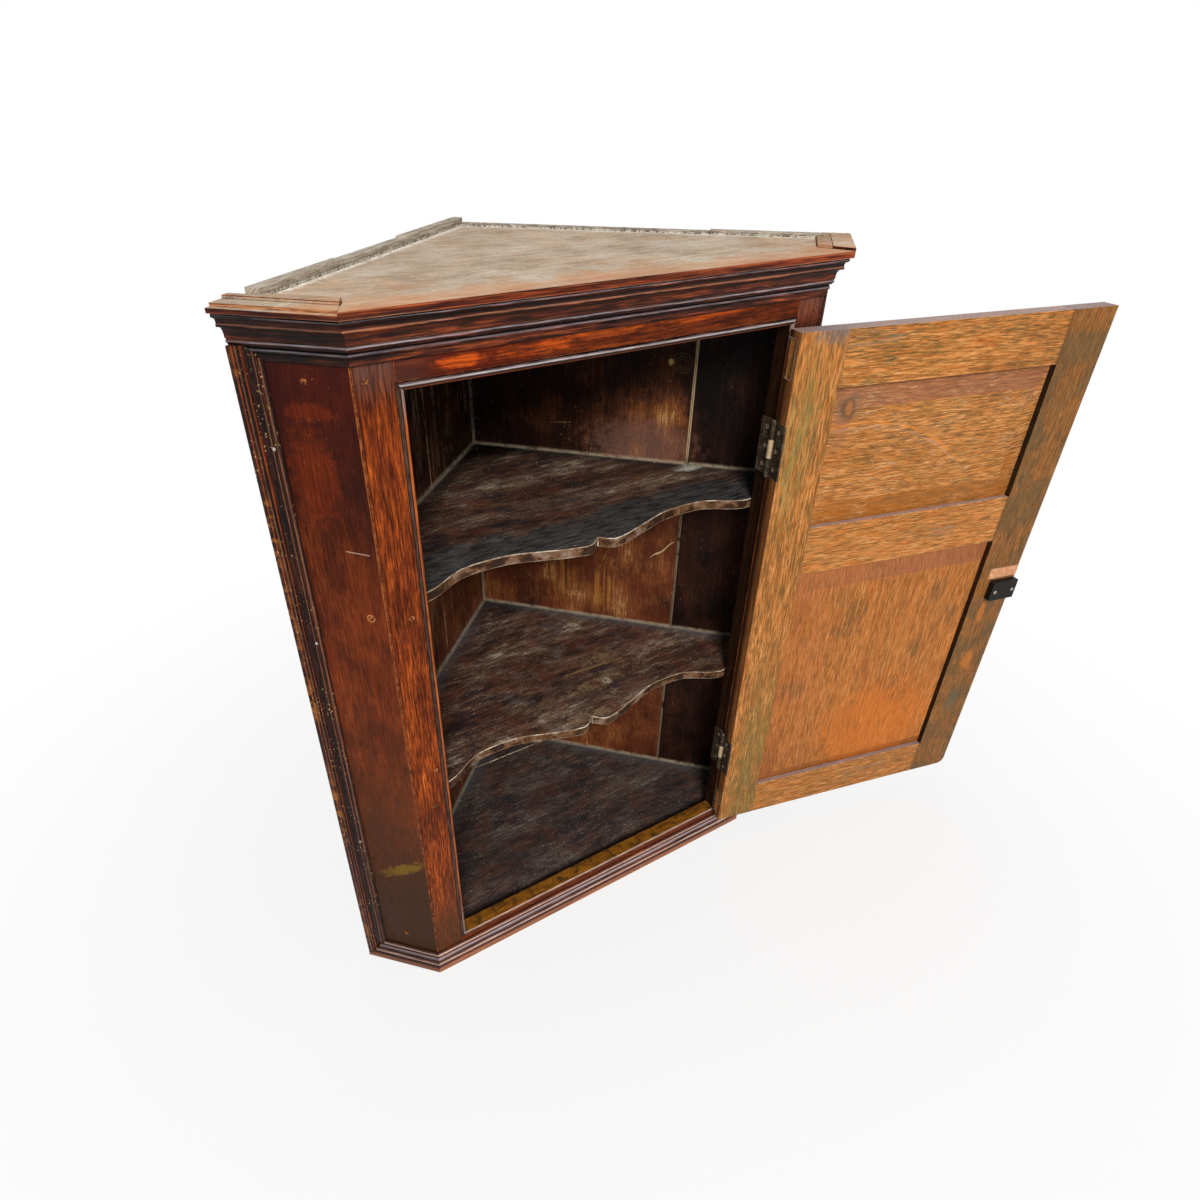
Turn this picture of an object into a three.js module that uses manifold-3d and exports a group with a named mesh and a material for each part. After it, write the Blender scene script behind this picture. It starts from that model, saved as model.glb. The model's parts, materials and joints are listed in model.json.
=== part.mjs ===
// A hanging corner cupboard in oak, with a panelled door shown open.
// Millimetres, Z up. The front faces -Y and the square back corner points to +Y.
// The carcass is drawn with its front face on y = 0. The whole is then moved back
// so that the origin lies under the middle of the bottom rail.

import * as THREE from 'three';
import { mergeVertices } from 'three/addons/utils/BufferGeometryUtils.js';
import Module from 'manifold-3d';

const wasm = await Module();
wasm.setup();

// Overall sizes
const topHeight = 1000;
const frontHalf = 301;
const returnLength = 118;
const fitGap = 0.3;
const overrun = 20;
const weldDistance = 0.01;
const mergeDistance = 0.001;

// Front frame and the bead that lines its opening
const frameThick = 22;
const stileWidth = 41;
const footHeight = 49.5;
const headHeight = 82.5;
const beadWidth = 8;
const beadProud = 2;
const beadSteps = 8;
const tenonLength = 26;
const tenonThick = 8;
const tenonShoulder = 5;

// Boards of the carcass
const returnThick = 18;
const returnRebate = 8;
const returnProud = 18.3;
const returnRise = 3;
const backThick = 15;
const boardJoint = 0.8;
const leftJointShares = [0.36, 0.68];
const leftBoardRises = [9.5, 7.5, 8.5];
const rightJointShares = [0.71];
const rightBoardRises = [3.5, 5];
const topThick = 12;
const floorTop = 31;
const floorThick = 14;
const floorJointShare = 0.79;

// Shelves
const upperShelfShare = 0.673;
const lowerShelfShare = 0.361;
const shelfThick = 14;
const shelfSetback = 2;
const shelfEndFlat = 8;
const shelfSweepDepth = 31;
const shelfCurveShares = [
  [1, 0], [0.93, 0.2], [0.78, 0.88], [0.62, 1], [0.48, 0.9],
  [0.33, 0.5], [0.2, 0.15], [0.1, -0.04], [0.05, 0.06], [0, 0.42],
];
const shelfCurveSteps = 22;

// Mouldings: heights up the face, and reaches out from it
const corniceHeight = 39;
const corniceReach = 25.5;
const fasciaHeight = 7.7;
const corniceRebate = 7;
const corniceDrop = 3;
const neckHeight = 14;
const neckReach = 4.4;
const baseHeight = 32;
const baseReach = 13;
const edgeWidth = 30;
const edgeReach = 10.5;
const curveSteps = 5;

// Shares of each moulding's outline: "Out" ones of its reach, the others of its height
const corniceShares = {
  footOut: 0.24,
  footBeadLow: 0.03,
  footBeadHigh: 0.135,
  arrisOut: 0.33,
  arrisHigh: 0.155,
  coveHigh: 0.455,
  coveOut: 0.6,
  filletOut: 0.65,
  filletHigh: 0.52,
  scotiaLow: 0.54,
  scotiaOut: 0.62,
  scotiaHigh: 0.665,
  headBeadOut: 0.75,
  headBeadLow: 0.675,
  headBeadHigh: 0.775,
};
const neckShares = {
  filletOut: 0.5,
  filletHigh: 0.46,
  quirkOut: 0.36,
  quirkHigh: 0.49,
  beadOut: 0.5,
  beadLow: 0.53,
  beadHigh: 0.86,
  headOut: 0.4,
};
const baseShares = {
  plinthHigh: 0.18,
  easeOut: 0.98,
  easeHigh: 0.26,
  ledgeOut: 0.82,
  ledgeHigh: 0.27,
  quirkOut: 0.74,
  quirkHigh: 0.34,
  lowBeadOut: 0.66,
  lowBeadLow: 0.38,
  lowBeadHigh: 0.48,
  hollowOut: 0.3,
  hollowMiddle: 0.56,
  neckOut: 0.28,
  neckHigh: 0.76,
  highBeadOut: 0.16,
  highBeadLow: 0.8,
  highBeadHigh: 0.93,
  headOut: 0.08,
};

// Butt hinges and their screws
const hingeLength = 76;
const hingeTopDrop = 118.5;
const hingeBottomRise = 112;
const leafThick = 2.2;
const knuckleOffset = 3;
const knuckleRadius = 4;
const knuckleClear = 0.4;
const knuckleShares = [0.28, 0.45, 0.27];
const knuckleGap = 0.4;
const axisForward = 3;
const pinRadius = 2;
const pinPlay = 0.2;
const pinHeadRadius = 3.2;
const pinHeadHeight = 1.6;
const roundSides = 16;
const screwHeadRadius = 3.4;
const screwHeadDepth = 1.7;
const screwShankRadius = 1.6;
const screwTipLength = 4;
const screwLength = 18;
const screwSlotWidth = 0.8;
const screwSlotDepth = 0.7;
const screwSides = 10;
const screwPitch = 26;
const screwPlay = 0.15;

// Door
const doorThick = 23.3;
const doorOpenDegrees = 167;
const doorClearSide = 3.5;
const doorClearTop = 2;
const doorClearBottom = 1.5;
const hingeStileWidth = 68.5;
const closingStileWidth = 74;
const topRailWidth = 73.5;
const middleRailShare = 0.5917;
const middleRailWidth = 77.5;
const bottomRailWidth = 71;
const doorTenonLength = 40;
const doorTenonThick = 7;
const doorTenonShoulder = 10;
const grooveDepth = 9;
const grooveWidth = 5.6;
const tongueLength = 7;
const tongueThick = 5;
const panelFront = 6.3;
const panelThick = 14;
const panelStep = 0.9;
const panelFrontBevel = 32;
const panelBackBevels = {
  door_panel_upper: { hinge: 31, closing: 30, top: 31, bottom: 34 },
  door_panel_lower: { hinge: 31, closing: 7, top: 35, bottom: 20 },
};
const wornCornerRadius = 11;
const wornCornerPull = 0.2;
const oldRecessDepth = 1.2;
const oldRecessLength = 50;
const oldRecessWidth = 11;
const oldRecessInset = 4;
const oldRecessDrop = 10;

// Lock
const lockWidth = 48;
const lockHeight = 34;
const lockThick = 11;
const lockInset = 1.5;
const lockHeightShare = 0.481;
const boltHeight = 12;
const boltThick = 5;
const boltLength = 34;
const boltPlay = 0.25;
const keyholeRadius = 2.6;
const keySlotWidth = 2.4;
const keySlotLength = 9;
const keyInset = 30;
const keyPocketDepth = 3;
const escutcheonHalf = 9;
const escutcheonHeight = 34;
const escutcheonThick = 1.5;
const patchLength = 56;
const patchHeight = 19;
const patchDepth = 4;
const patchProud = 1.2;
const patchGap = 4;

// Values that follow from the sizes above
const S = Math.SQRT1_2;
const mitreAngle = Math.PI / 8;
const mitreSlope = Math.tan(mitreAngle);
const frameHigh = topHeight - topThick;
const openOuter = frontHalf - stileWidth;
const openHalf = openOuter - beadWidth;
const openLow = footHeight;
const openHigh = topHeight - headHeight;
const rebateStart = returnLength - returnProud - backThick;
const innerCorner = frontHalf + rebateStart / S;
const wallLength = S * (frontHalf + innerCorner) - (returnThick - returnRebate) - fitGap;
const corniceLow = topHeight - corniceHeight;
const neckLow = corniceLow - neckHeight;
const edgeStart = returnLength - edgeWidth;
const leafFace = openHalf - fitGap - leafThick;
const axisX = leafFace - knuckleOffset;
const doorHingeEdge = axisX - fitGap;
const doorWidth = doorHingeEdge + openHalf - doorClearSide;
const doorLow = openLow + doorClearBottom;
const doorHigh = openHigh - doorClearTop;
const doorHeight = doorHigh - doorLow;
const edgeX = doorHingeEdge - axisX;
const hingeMiddles = {
  upper: doorHigh - hingeTopDrop - hingeLength / 2,
  lower: doorLow + hingeBottomRise + hingeLength / 2,
};

const finishes = {
  showOak: { color: 0x5a2412, roughness: 0.35, metalness: 0 },
  mouldingOak: { color: 0x3b1d12, roughness: 0.3, metalness: 0 },
  innerOak: { color: 0x2a1a17, roughness: 0.7, metalness: 0 },
  topOak: { color: 0x80664f, roughness: 0.85, metalness: 0 },
  doorOak: { color: 0xa8652c, roughness: 0.6, metalness: 0 },
  patchWood: { color: 0xc49a72, roughness: 0.7, metalness: 0 },
  iron: { color: 0x1d1a18, roughness: 0.55, metalness: 0.8 },
};

const cupboard = new THREE.Group();
const carcass = new THREE.Group();
const door = new THREE.Group();
cupboard.add(carcass, door);

function addPiece(parent, name, geometry, finish) {
  const mesh = new THREE.Mesh(geometry, new THREE.MeshStandardMaterial(finishes[finish]));
  mesh.name = name;
  parent.add(mesh);
}

function distinct(points) {
  return points.filter((point, i, all) => i === 0 || point.distanceTo(all[i - 1]) > weldDistance);
}

function wholeTriangles(order) {
  const whole = [];
  for (let i = 0; i < order.length; i += 3) {
    const [a, b, c] = order.slice(i, i + 3);
    if (a !== b && b !== c && c !== a) {
      whole.push(a, b, c);
    }
  }
  return whole;
}

// Joining and cutting of closed bodies
function toSolid(geometry) {
  const bare = geometry.clone();
  bare.deleteAttribute('normal');
  bare.deleteAttribute('uv');
  const merged = mergeVertices(bare, mergeDistance);
  const vertProperties = new Float32Array(merged.attributes.position.array);
  const triVerts = new Uint32Array(wholeTriangles(merged.index.array));
  return new wasm.Manifold(new wasm.Mesh({ numProp: 3, vertProperties, triVerts }));
}

function toGeometry(solid) {
  const mesh = solid.getMesh();
  const geometry = new THREE.BufferGeometry();
  geometry.setAttribute('position', new THREE.BufferAttribute(new Float32Array(mesh.vertProperties), 3));
  geometry.setIndex(new THREE.BufferAttribute(new Uint32Array(mesh.triVerts), 1));
  return geometry;
}

function cut(geometry, tools) {
  return toGeometry(tools.reduce((body, tool) => body.subtract(toSolid(tool)), toSolid(geometry)));
}

function join(geometry, others) {
  return toGeometry(others.reduce((body, other) => body.add(toSolid(other)), toSolid(geometry)));
}

// Plain shapes
function block([x0, x1], [y0, y1], [z0, z1]) {
  const box = new THREE.BoxGeometry(x1 - x0, y1 - y0, z1 - z0);
  return box.translate((x0 + x1) / 2, (y0 + y1) / 2, (z0 + z1) / 2);
}

function upright(points, z0, z1) {
  const shape = new THREE.Shape(points.map(([x, y]) => new THREE.Vector2(x, y)));
  const solid = new THREE.ExtrudeGeometry(shape, { depth: z1 - z0, bevelEnabled: false });
  return solid.translate(0, 0, z0);
}

function uprightRod(radius, z0, z1) {
  const rod = new THREE.CylinderGeometry(radius, radius, z1 - z0, roundSides);
  return rod.rotateX(Math.PI / 2).translate(0, 0, (z0 + z1) / 2);
}

function roundHole(radius) {
  return radius / Math.cos(Math.PI / roundSides);
}

// A closed skin over rows of points, each row a ring, with flat ends
function skin(rings, endTriangles) {
  const count = rings[0].length;
  const positions = rings.flat(2);
  const faces = [];
  for (let row = 0; row < rings.length - 1; row += 1) {
    for (let i = 0; i < count; i += 1) {
      const a = row * count + i;
      const b = row * count + ((i + 1) % count);
      faces.push(a, b, b + count, a, b + count, a + count);
    }
  }
  const last = (rings.length - 1) * count;
  for (const [a, b, c] of endTriangles) {
    faces.push(a, c, b, last + a, last + b, last + c);
  }
  const geometry = new THREE.BufferGeometry();
  geometry.setAttribute('position', new THREE.Float32BufferAttribute(positions, 3));
  geometry.setIndex(faces);
  return facingOut(geometry);
}

function facingOut(geometry) {
  const points = geometry.attributes.position;
  const order = geometry.index.array;
  const [a, b, c] = [new THREE.Vector3(), new THREE.Vector3(), new THREE.Vector3()];
  let volume = 0;
  for (let i = 0; i < order.length; i += 3) {
    a.fromBufferAttribute(points, order[i]);
    b.fromBufferAttribute(points, order[i + 1]);
    c.fromBufferAttribute(points, order[i + 2]);
    volume += a.dot(b.cross(c));
  }
  if (volume < 0) {
    for (let i = 0; i < order.length; i += 3) {
      [order[i], order[i + 1]] = [order[i + 1], order[i]];
    }
  }
  return geometry;
}

// A length of moulding: its profile is drawn across, and each end may be cut on a slope
function bar(profile, place, from, to) {
  const ring = THREE.ShapeUtils.isClockWise(profile) ? profile.toReversed() : profile;
  const triangles = THREE.ShapeUtils.triangulateShape(ring, []);
  const start = ring.map(({ x, y }) => place(x, y, from(x, y)));
  const end = ring.map(({ x, y }) => place(x, y, to(x, y)));
  return skin([start, end], triangles);
}

// Straight lines of the plan, each with its normal pointing out of the carcass
function frontLine(inset) {
  return { nx: 0, ny: -1, reach: -inset };
}

function returnLine(inset) {
  return { nx: -S, ny: -S, reach: S * frontHalf - inset };
}

function wallLine(inset) {
  return { nx: -S, ny: S, reach: S * innerCorner - inset };
}

function mitreLine(inset) {
  const nx = -Math.cos(mitreAngle);
  return { nx, ny: Math.sin(mitreAngle), reach: -nx * frontHalf - inset };
}

function acrossLine(y) {
  return { nx: 0, ny: 1, reach: y };
}

function alongLine(x) {
  return { nx: 1, ny: 0, reach: x };
}

function meet(a, b) {
  const cross = a.nx * b.ny - a.ny * b.nx;
  return [(a.reach * b.ny - b.reach * a.ny) / cross, (a.nx * b.reach - b.nx * a.reach) / cross];
}

function mirrored(points) {
  return points.map(([x, y]) => [-x, y]).reverse();
}

function wholePlan(leftPoints) {
  return [...leftPoints, ...mirrored(leftPoints)];
}

// A point of the left side return: along it from the front arris, and out from its face
function onReturn(along, out) {
  return [-frontHalf - (along + out) * S, (along - out) * S];
}

// A point of the left back wall: along it from the inner corner, and out through it
function onWall(along, out) {
  return [-(along + out) * S, innerCorner + (out - along) * S];
}

function forSides(points, make) {
  make('left', points);
  make('right', mirrored(points));
}

// Front frame
function tenon(side, zRange) {
  const root = openOuter - beadWidth / 2;
  const yRange = [(frameThick - tenonThick) / 2, (frameThick + tenonThick) / 2];
  const xRange = [root, openOuter + tenonLength].map((x) => x * side);
  return block(xRange.sort((a, b) => a - b), yRange, [zRange[0] + tenonShoulder, zRange[1] - tenonShoulder]);
}

function grown(geometry, gap) {
  geometry.computeBoundingBox();
  const { min, max } = geometry.boundingBox;
  return block([min.x - gap, max.x + gap], [min.y - gap, max.y + gap], [min.z - gap, max.z + gap]);
}

const railSpans = {
  frame_top_rail: [openHigh + beadWidth + fitGap, frameHigh],
  frame_bottom_rail: [0, openLow - beadWidth - fitGap],
};

function addFrame() {
  const reach = openOuter + fitGap;
  const stile = [
    meet(frontLine(0), mitreLine(fitGap / 2)),
    meet(frontLine(0), alongLine(-reach)),
    meet(acrossLine(frameThick), alongLine(-reach)),
    meet(acrossLine(frameThick), mitreLine(fitGap / 2)),
  ];
  forSides(stile, (side, points) => {
    const sign = side === 'left' ? -1 : 1;
    const mortises = Object.values(railSpans).map((span) => grown(tenon(sign, span), fitGap));
    const screws = side === 'right' ? frameScrewHoles() : [];
    const body = cut(upright(points, 0, frameHigh), [...mortises, ...screws]);
    addPiece(carcass, `frame_stile_${side}`, body, 'showOak');
  });
  for (const [name, span] of Object.entries(railSpans)) {
    const rail = block([-openOuter, openOuter], [0, frameThick], span);
    addPiece(carcass, name, join(rail, [tenon(-1, span), tenon(1, span)]), 'showOak');
  }
}

// The bead has a half-round nose that stands proud of the frame
function beadProfile() {
  const radius = beadWidth / 2;
  const nose = [];
  for (let i = 0; i <= beadSteps; i += 1) {
    const angle = Math.PI * (i / beadSteps);
    const across = radius - radius * Math.cos(angle);
    nose.push(new THREE.Vector2(across, radius - beadProud - radius * Math.sin(angle)));
  }
  return [...nose, new THREE.Vector2(beadWidth, frameThick), new THREE.Vector2(0, frameThick)];
}

function addOpeningBead() {
  const profile = beadProfile();
  const acrossFrom = (w) => -(openHalf + w) + fitGap;
  const acrossTo = (w) => openHalf + w - fitGap;
  const upFrom = (w) => openLow - w + fitGap;
  const upTo = (w) => openHigh + w - fitGap;
  const top = bar(profile, (w, y, s) => [s, y, openHigh + w], acrossFrom, acrossTo);
  const bottom = bar(profile, (w, y, s) => [s, y, openLow - w], acrossFrom, acrossTo);
  const left = bar(profile, (w, y, s) => [-openHalf - w, y, s], upFrom, upTo);
  const right = bar(profile, (w, y, s) => [openHalf + w, y, s], upFrom, upTo);
  const middles = Object.values(hingeMiddles);
  const housings = middles.map((z) => knuckleHousing(z).translate(axisX, -axisForward, 0));
  addPiece(carcass, 'opening_bead_top', top, 'mouldingOak');
  addPiece(carcass, 'opening_bead_bottom', bottom, 'mouldingOak');
  addPiece(carcass, 'opening_bead_left', left, 'mouldingOak');
  addPiece(carcass, 'opening_bead_right', cut(right, [...housings, ...frameScrewHoles()]), 'mouldingOak');
}

// Boards
function addSideReturns() {
  const backing = returnThick - returnRebate;
  const plan = [
    onReturn(fitGap / 2, 0),
    onReturn(returnLength, 0),
    onReturn(returnLength, -backing),
    onReturn(rebateStart - fitGap, -backing),
    onReturn(rebateStart - fitGap, -returnThick),
    onReturn(returnThick * mitreSlope + fitGap / 2, -returnThick),
  ];
  forSides(plan, (side, points) => {
    addPiece(carcass, `side_return_${side}`, upright(points, 0, topHeight + returnRise), 'showOak');
  });
}

function backBoard(from, to, flip) {
  const plan = [onWall(from, 0), onWall(to, 0), onWall(to, backThick), onWall(from, backThick)];
  return flip ? mirrored(plan) : plan;
}

function addBackWall(side, firstEnd, jointShares, rises) {
  const ends = [firstEnd, ...jointShares.map((share) => share * wallLength), wallLength];
  const half = boardJoint / 2;
  rises.forEach((rise, i) => {
    const from = ends[i] + (i > 0 ? half : 0);
    const to = ends[i + 1] - (i < rises.length - 1 ? half : 0);
    const board = upright(backBoard(from, to, side === 'right'), 0, topHeight + rise);
    addPiece(carcass, `back_board_${side}_${i + 1}`, board, 'innerOak');
  });
}

function addTopBoard() {
  const plan = wholePlan([
    meet(wallLine(fitGap), alongLine(0)),
    meet(wallLine(fitGap), returnLine(returnThick + fitGap)),
    meet(returnLine(returnThick + fitGap), mitreLine(fitGap)),
    meet(frontLine(fitGap), mitreLine(fitGap)),
  ]);
  addPiece(carcass, 'top_board', upright(plan.slice(1), frameHigh, topHeight), 'topOak');
}

function addFloor() {
  const jointY = floorJointShare * innerCorner;
  const front = wholePlan([
    meet(wallLine(fitGap), acrossLine(jointY)),
    meet(wallLine(fitGap), returnLine(returnThick + fitGap)),
    meet(acrossLine(frameThick + fitGap), returnLine(returnThick + fitGap)),
  ]);
  const rear = wholePlan([
    meet(wallLine(fitGap), alongLine(0)),
    meet(wallLine(fitGap), acrossLine(jointY + boardJoint)),
  ]);
  addPiece(carcass, 'floor_board_front', upright(front, floorTop - floorThick, floorTop), 'innerOak');
  addPiece(carcass, 'floor_board_rear', upright(rear.slice(1), floorTop - floorThick, floorTop), 'innerOak');
}

// The front edge of a shelf sweeps back from each end and meets in a notch at the middle
function shelfCurve() {
  const frontY = frameThick + shelfSetback;
  const half = openHalf - shelfEndFlat;
  const knots = shelfCurveShares.map(
    ([across, back]) => new THREE.Vector2(-across * half, frontY + back * shelfSweepDepth),
  );
  return new THREE.SplineCurve(knots).getPoints(shelfCurveSteps).map(({ x, y }) => [x, y]);
}

function addShelves() {
  const frontY = frameThick + shelfSetback;
  const left = [
    meet(wallLine(fitGap), alongLine(0)),
    meet(wallLine(fitGap), returnLine(returnThick + fitGap)),
    meet(acrossLine(frontY), returnLine(returnThick + fitGap)),
    ...shelfCurve(),
  ];
  const plan = [...left, ...mirrored(left).slice(1, -1)];
  const upper = upperShelfShare * topHeight;
  const lower = lowerShelfShare * topHeight;
  addPiece(carcass, 'shelf_upper', upright(plan, upper - shelfThick, upper), 'innerOak');
  addPiece(carcass, 'shelf_lower', upright(plan, lower - shelfThick, lower), 'innerOak');
}

// Mouldings: each outline is drawn with x out from the face and y up
function outline(draw) {
  const path = new THREE.Path();
  draw(path);
  return distinct(path.getPoints(curveSteps));
}

function scaled(shares, size) {
  return Object.fromEntries(Object.entries(shares).map(([name, share]) => [name, share * size]));
}

function halfRound(path, x, low, high) {
  path.lineTo(x, low);
  path.absarc(x, (low + high) / 2, (high - low) / 2, -Math.PI / 2, Math.PI / 2, false);
}

function corniceProfile(rise, rebate) {
  const high = corniceHeight + rise;
  const fasciaLow = corniceHeight - fasciaHeight;
  const out = scaled(corniceShares, corniceReach);
  const up = scaled(corniceShares, corniceHeight);
  return outline((path) => {
    path.moveTo(0, 0);
    path.lineTo(out.footOut, 0);
    halfRound(path, out.footOut, up.footBeadLow, up.footBeadHigh);
    path.lineTo(out.arrisOut, up.arrisHigh);
    path.quadraticCurveTo(out.arrisOut, up.coveHigh, out.coveOut, up.coveHigh);
    path.lineTo(out.filletOut, up.coveHigh);
    path.lineTo(out.filletOut, up.filletHigh);
    path.lineTo(out.scotiaOut, up.scotiaLow);
    path.quadraticCurveTo(out.scotiaOut, up.scotiaHigh, out.headBeadOut, up.scotiaHigh);
    halfRound(path, out.headBeadOut, up.headBeadLow, up.headBeadHigh);
    path.lineTo(out.headBeadOut, fasciaLow);
    path.lineTo(corniceReach, fasciaLow);
    path.lineTo(corniceReach, high - (rebate ? corniceDrop : 0));
    if (rebate) {
      path.lineTo(corniceReach - corniceRebate, high - corniceDrop);
      path.lineTo(corniceReach - corniceRebate, high);
    }
    path.lineTo(0, high);
  });
}

function neckProfile() {
  const high = neckHeight - fitGap;
  const out = scaled(neckShares, neckReach);
  const up = scaled(neckShares, high);
  return outline((path) => {
    path.moveTo(0, 0);
    path.lineTo(out.filletOut, 0);
    path.lineTo(out.filletOut, up.filletHigh);
    path.lineTo(out.quirkOut, up.quirkHigh);
    halfRound(path, out.beadOut, up.beadLow, up.beadHigh);
    path.lineTo(out.headOut, up.beadHigh);
    path.lineTo(out.headOut, high);
    path.lineTo(0, high);
  });
}

function baseProfile(width, reach) {
  const out = scaled(baseShares, reach);
  const up = scaled(baseShares, width);
  return outline((path) => {
    path.moveTo(0, 0);
    path.lineTo(reach, 0);
    path.lineTo(reach, up.plinthHigh);
    path.quadraticCurveTo(out.easeOut, up.easeHigh, out.ledgeOut, up.ledgeHigh);
    path.lineTo(out.quirkOut, up.quirkHigh);
    halfRound(path, out.lowBeadOut, up.lowBeadLow, up.lowBeadHigh);
    path.quadraticCurveTo(out.hollowOut, up.hollowMiddle, out.neckOut, up.neckHigh);
    halfRound(path, out.highBeadOut, up.highBeadLow, up.highBeadHigh);
    path.lineTo(out.headOut, width);
    path.lineTo(0, width);
  });
}

function frontBar(profile, low) {
  const end = (out) => frontHalf + (out + fitGap) * mitreSlope - fitGap / 2;
  const place = (out, up, s) => [s, -out - fitGap, low + up];
  return bar(profile, place, (out) => -end(out), end);
}

function returnBar(profile, low, to, side) {
  const from = (out) => -(out + fitGap) * mitreSlope + fitGap / 2;
  const sign = side === 'left' ? 1 : -1;
  const place = (out, up, s) => {
    const [x, y] = onReturn(s, out + fitGap);
    return [x * sign, y, low + up];
  };
  return bar(profile, place, from, to);
}

// The edge moulding stands up the rear edge of a return, mitred at its foot and head
function edgeBar(side) {
  const sign = side === 'left' ? 1 : -1;
  const head = corniceLow - fitGap;
  const profile = baseProfile(edgeWidth, edgeReach).map(({ x, y }) => new THREE.Vector2(x, edgeWidth - y));
  const place = (out, across, s) => {
    const [x, y] = onReturn(edgeStart + across, out + fitGap);
    return [x * sign, y, s];
  };
  const foot = (out, across) => baseHeight * (1 - across / edgeWidth) + fitGap;
  const standing = bar(profile, place, foot, () => head);
  const wedge = [
    new THREE.Vector2(-overrun, head + overrun),
    new THREE.Vector2(-overrun, neckLow - overrun - fitGap),
    new THREE.Vector2(neckHeight + overrun, corniceLow + overrun - fitGap),
  ];
  const cutter = bar(
    wedge,
    (across, up, out) => {
      const [x, y] = onReturn(edgeStart + across, out);
      return [x * sign, y, up];
    },
    () => -fitGap,
    () => edgeReach + overrun,
  );
  return cut(standing, [cutter]);
}

function addMouldings() {
  addPiece(carcass, 'cornice_front', frontBar(corniceProfile(0, false), corniceLow), 'mouldingOak');
  addPiece(carcass, 'neck_moulding_front', frontBar(neckProfile(), neckLow), 'mouldingOak');
  addPiece(carcass, 'base_moulding_front', frontBar(baseProfile(baseHeight, baseReach), 0), 'mouldingOak');
  const squareEnd = () => returnLength;
  const neckEnd = (out, up) => edgeStart + up - fitGap;
  const baseEnd = (out, up) => edgeStart + edgeWidth * (1 - up / baseHeight) - fitGap;
  for (const side of ['left', 'right']) {
    const rise = side === 'right' ? returnRise : 0;
    const cornice = returnBar(corniceProfile(rise, side === 'left'), corniceLow, squareEnd, side);
    const neck = returnBar(neckProfile(), neckLow, neckEnd, side);
    const base = returnBar(baseProfile(baseHeight, baseReach), 0, baseEnd, side);
    addPiece(carcass, `cornice_${side}`, cornice, 'mouldingOak');
    addPiece(carcass, `neck_moulding_${side}`, neck, 'mouldingOak');
    addPiece(carcass, `base_moulding_${side}`, base, 'mouldingOak');
    addPiece(carcass, `edge_moulding_${side}`, edgeBar(side), 'mouldingOak');
  }
}

// Hinges: drawn round an upright axis through the origin, the frame on +X and the shut door on -X
function knuckleSpans(middle) {
  const low = middle - hingeLength / 2;
  const first = low + knuckleShares[0] * hingeLength;
  const second = first + knuckleShares[1] * hingeLength;
  return [[low, first], [first, second], [second, low + hingeLength]];
}

function knuckleHousing(middle) {
  const reach = hingeLength / 2 + pinHeadHeight + knuckleClear;
  return uprightRod(roundHole(knuckleRadius + knuckleClear), middle - reach, middle + reach);
}

function leaf(middle, plateX, plateY, ownSpans, otherSpans, screwHoles) {
  const plate = block(plateX, [0, plateY], [middle - hingeLength / 2, middle + hingeLength / 2]);
  const clear = otherSpans.map(([z0, z1]) =>
    uprightRod(roundHole(knuckleRadius + knuckleClear), z0 - knuckleGap / 2, z1 + knuckleGap / 2));
  const own = ownSpans.map(([z0, z1]) => uprightRod(knuckleRadius, z0 + knuckleGap / 2, z1 - knuckleGap / 2));
  const bore = uprightRod(roundHole(pinRadius + pinPlay), middle - hingeLength, middle + hingeLength);
  return cut(join(cut(plate, clear), own), [bore, ...screwHoles]);
}

function pin(middle) {
  const reach = hingeLength / 2 + knuckleGap / 2;
  const points = [
    new THREE.Vector2(0, -reach - pinHeadHeight),
    new THREE.Vector2(pinHeadRadius, -reach - pinHeadHeight),
    new THREE.Vector2(pinHeadRadius, -reach),
    new THREE.Vector2(pinRadius, -reach),
    new THREE.Vector2(pinRadius, reach),
    new THREE.Vector2(pinHeadRadius, reach),
    new THREE.Vector2(pinHeadRadius, reach + pinHeadHeight),
    new THREE.Vector2(0, reach + pinHeadHeight),
  ];
  return new THREE.LatheGeometry(points, roundSides).rotateX(Math.PI / 2).translate(0, 0, middle);
}

// A countersunk screw: its head is at x = 0 and its point along +X
function screw(play) {
  const points = distinct([
    new THREE.Vector2(0, -play),
    new THREE.Vector2(screwHeadRadius + play, -play),
    new THREE.Vector2(screwHeadRadius + play, play),
    new THREE.Vector2(screwShankRadius + play, screwHeadDepth + play),
    new THREE.Vector2(screwShankRadius + play, screwLength - screwTipLength),
    new THREE.Vector2(0, screwLength + play),
  ]);
  return new THREE.LatheGeometry(points, screwSides).rotateZ(-Math.PI / 2);
}

function slottedScrew() {
  const slotX = [-screwSlotDepth, screwSlotDepth];
  const slotY = [-screwHeadRadius * 2, screwHeadRadius * 2];
  return cut(screw(0), [block(slotX, slotY, [-screwSlotWidth / 2, screwSlotWidth / 2])]);
}

const screwRows = [-1, 0, 1];
const frameLeafX = leafFace - axisX;
const frameScrewY = (axisForward + frameThick) / 2;
const doorScrewY = (axisForward + doorThick) / 2;

function frameScrewHoles() {
  const holes = [];
  for (const middle of Object.values(hingeMiddles)) {
    for (const row of screwRows) {
      holes.push(screw(screwPlay).translate(leafFace, frameScrewY - axisForward, middle + row * screwPitch));
    }
  }
  return holes;
}

function doorScrewHoles(middles) {
  const holes = [];
  for (const middle of middles) {
    for (const row of screwRows) {
      const hole = screw(screwPlay).rotateZ(Math.PI);
      holes.push(hole.translate(edgeX, doorScrewY, middle + row * screwPitch));
    }
  }
  return holes;
}

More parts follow.
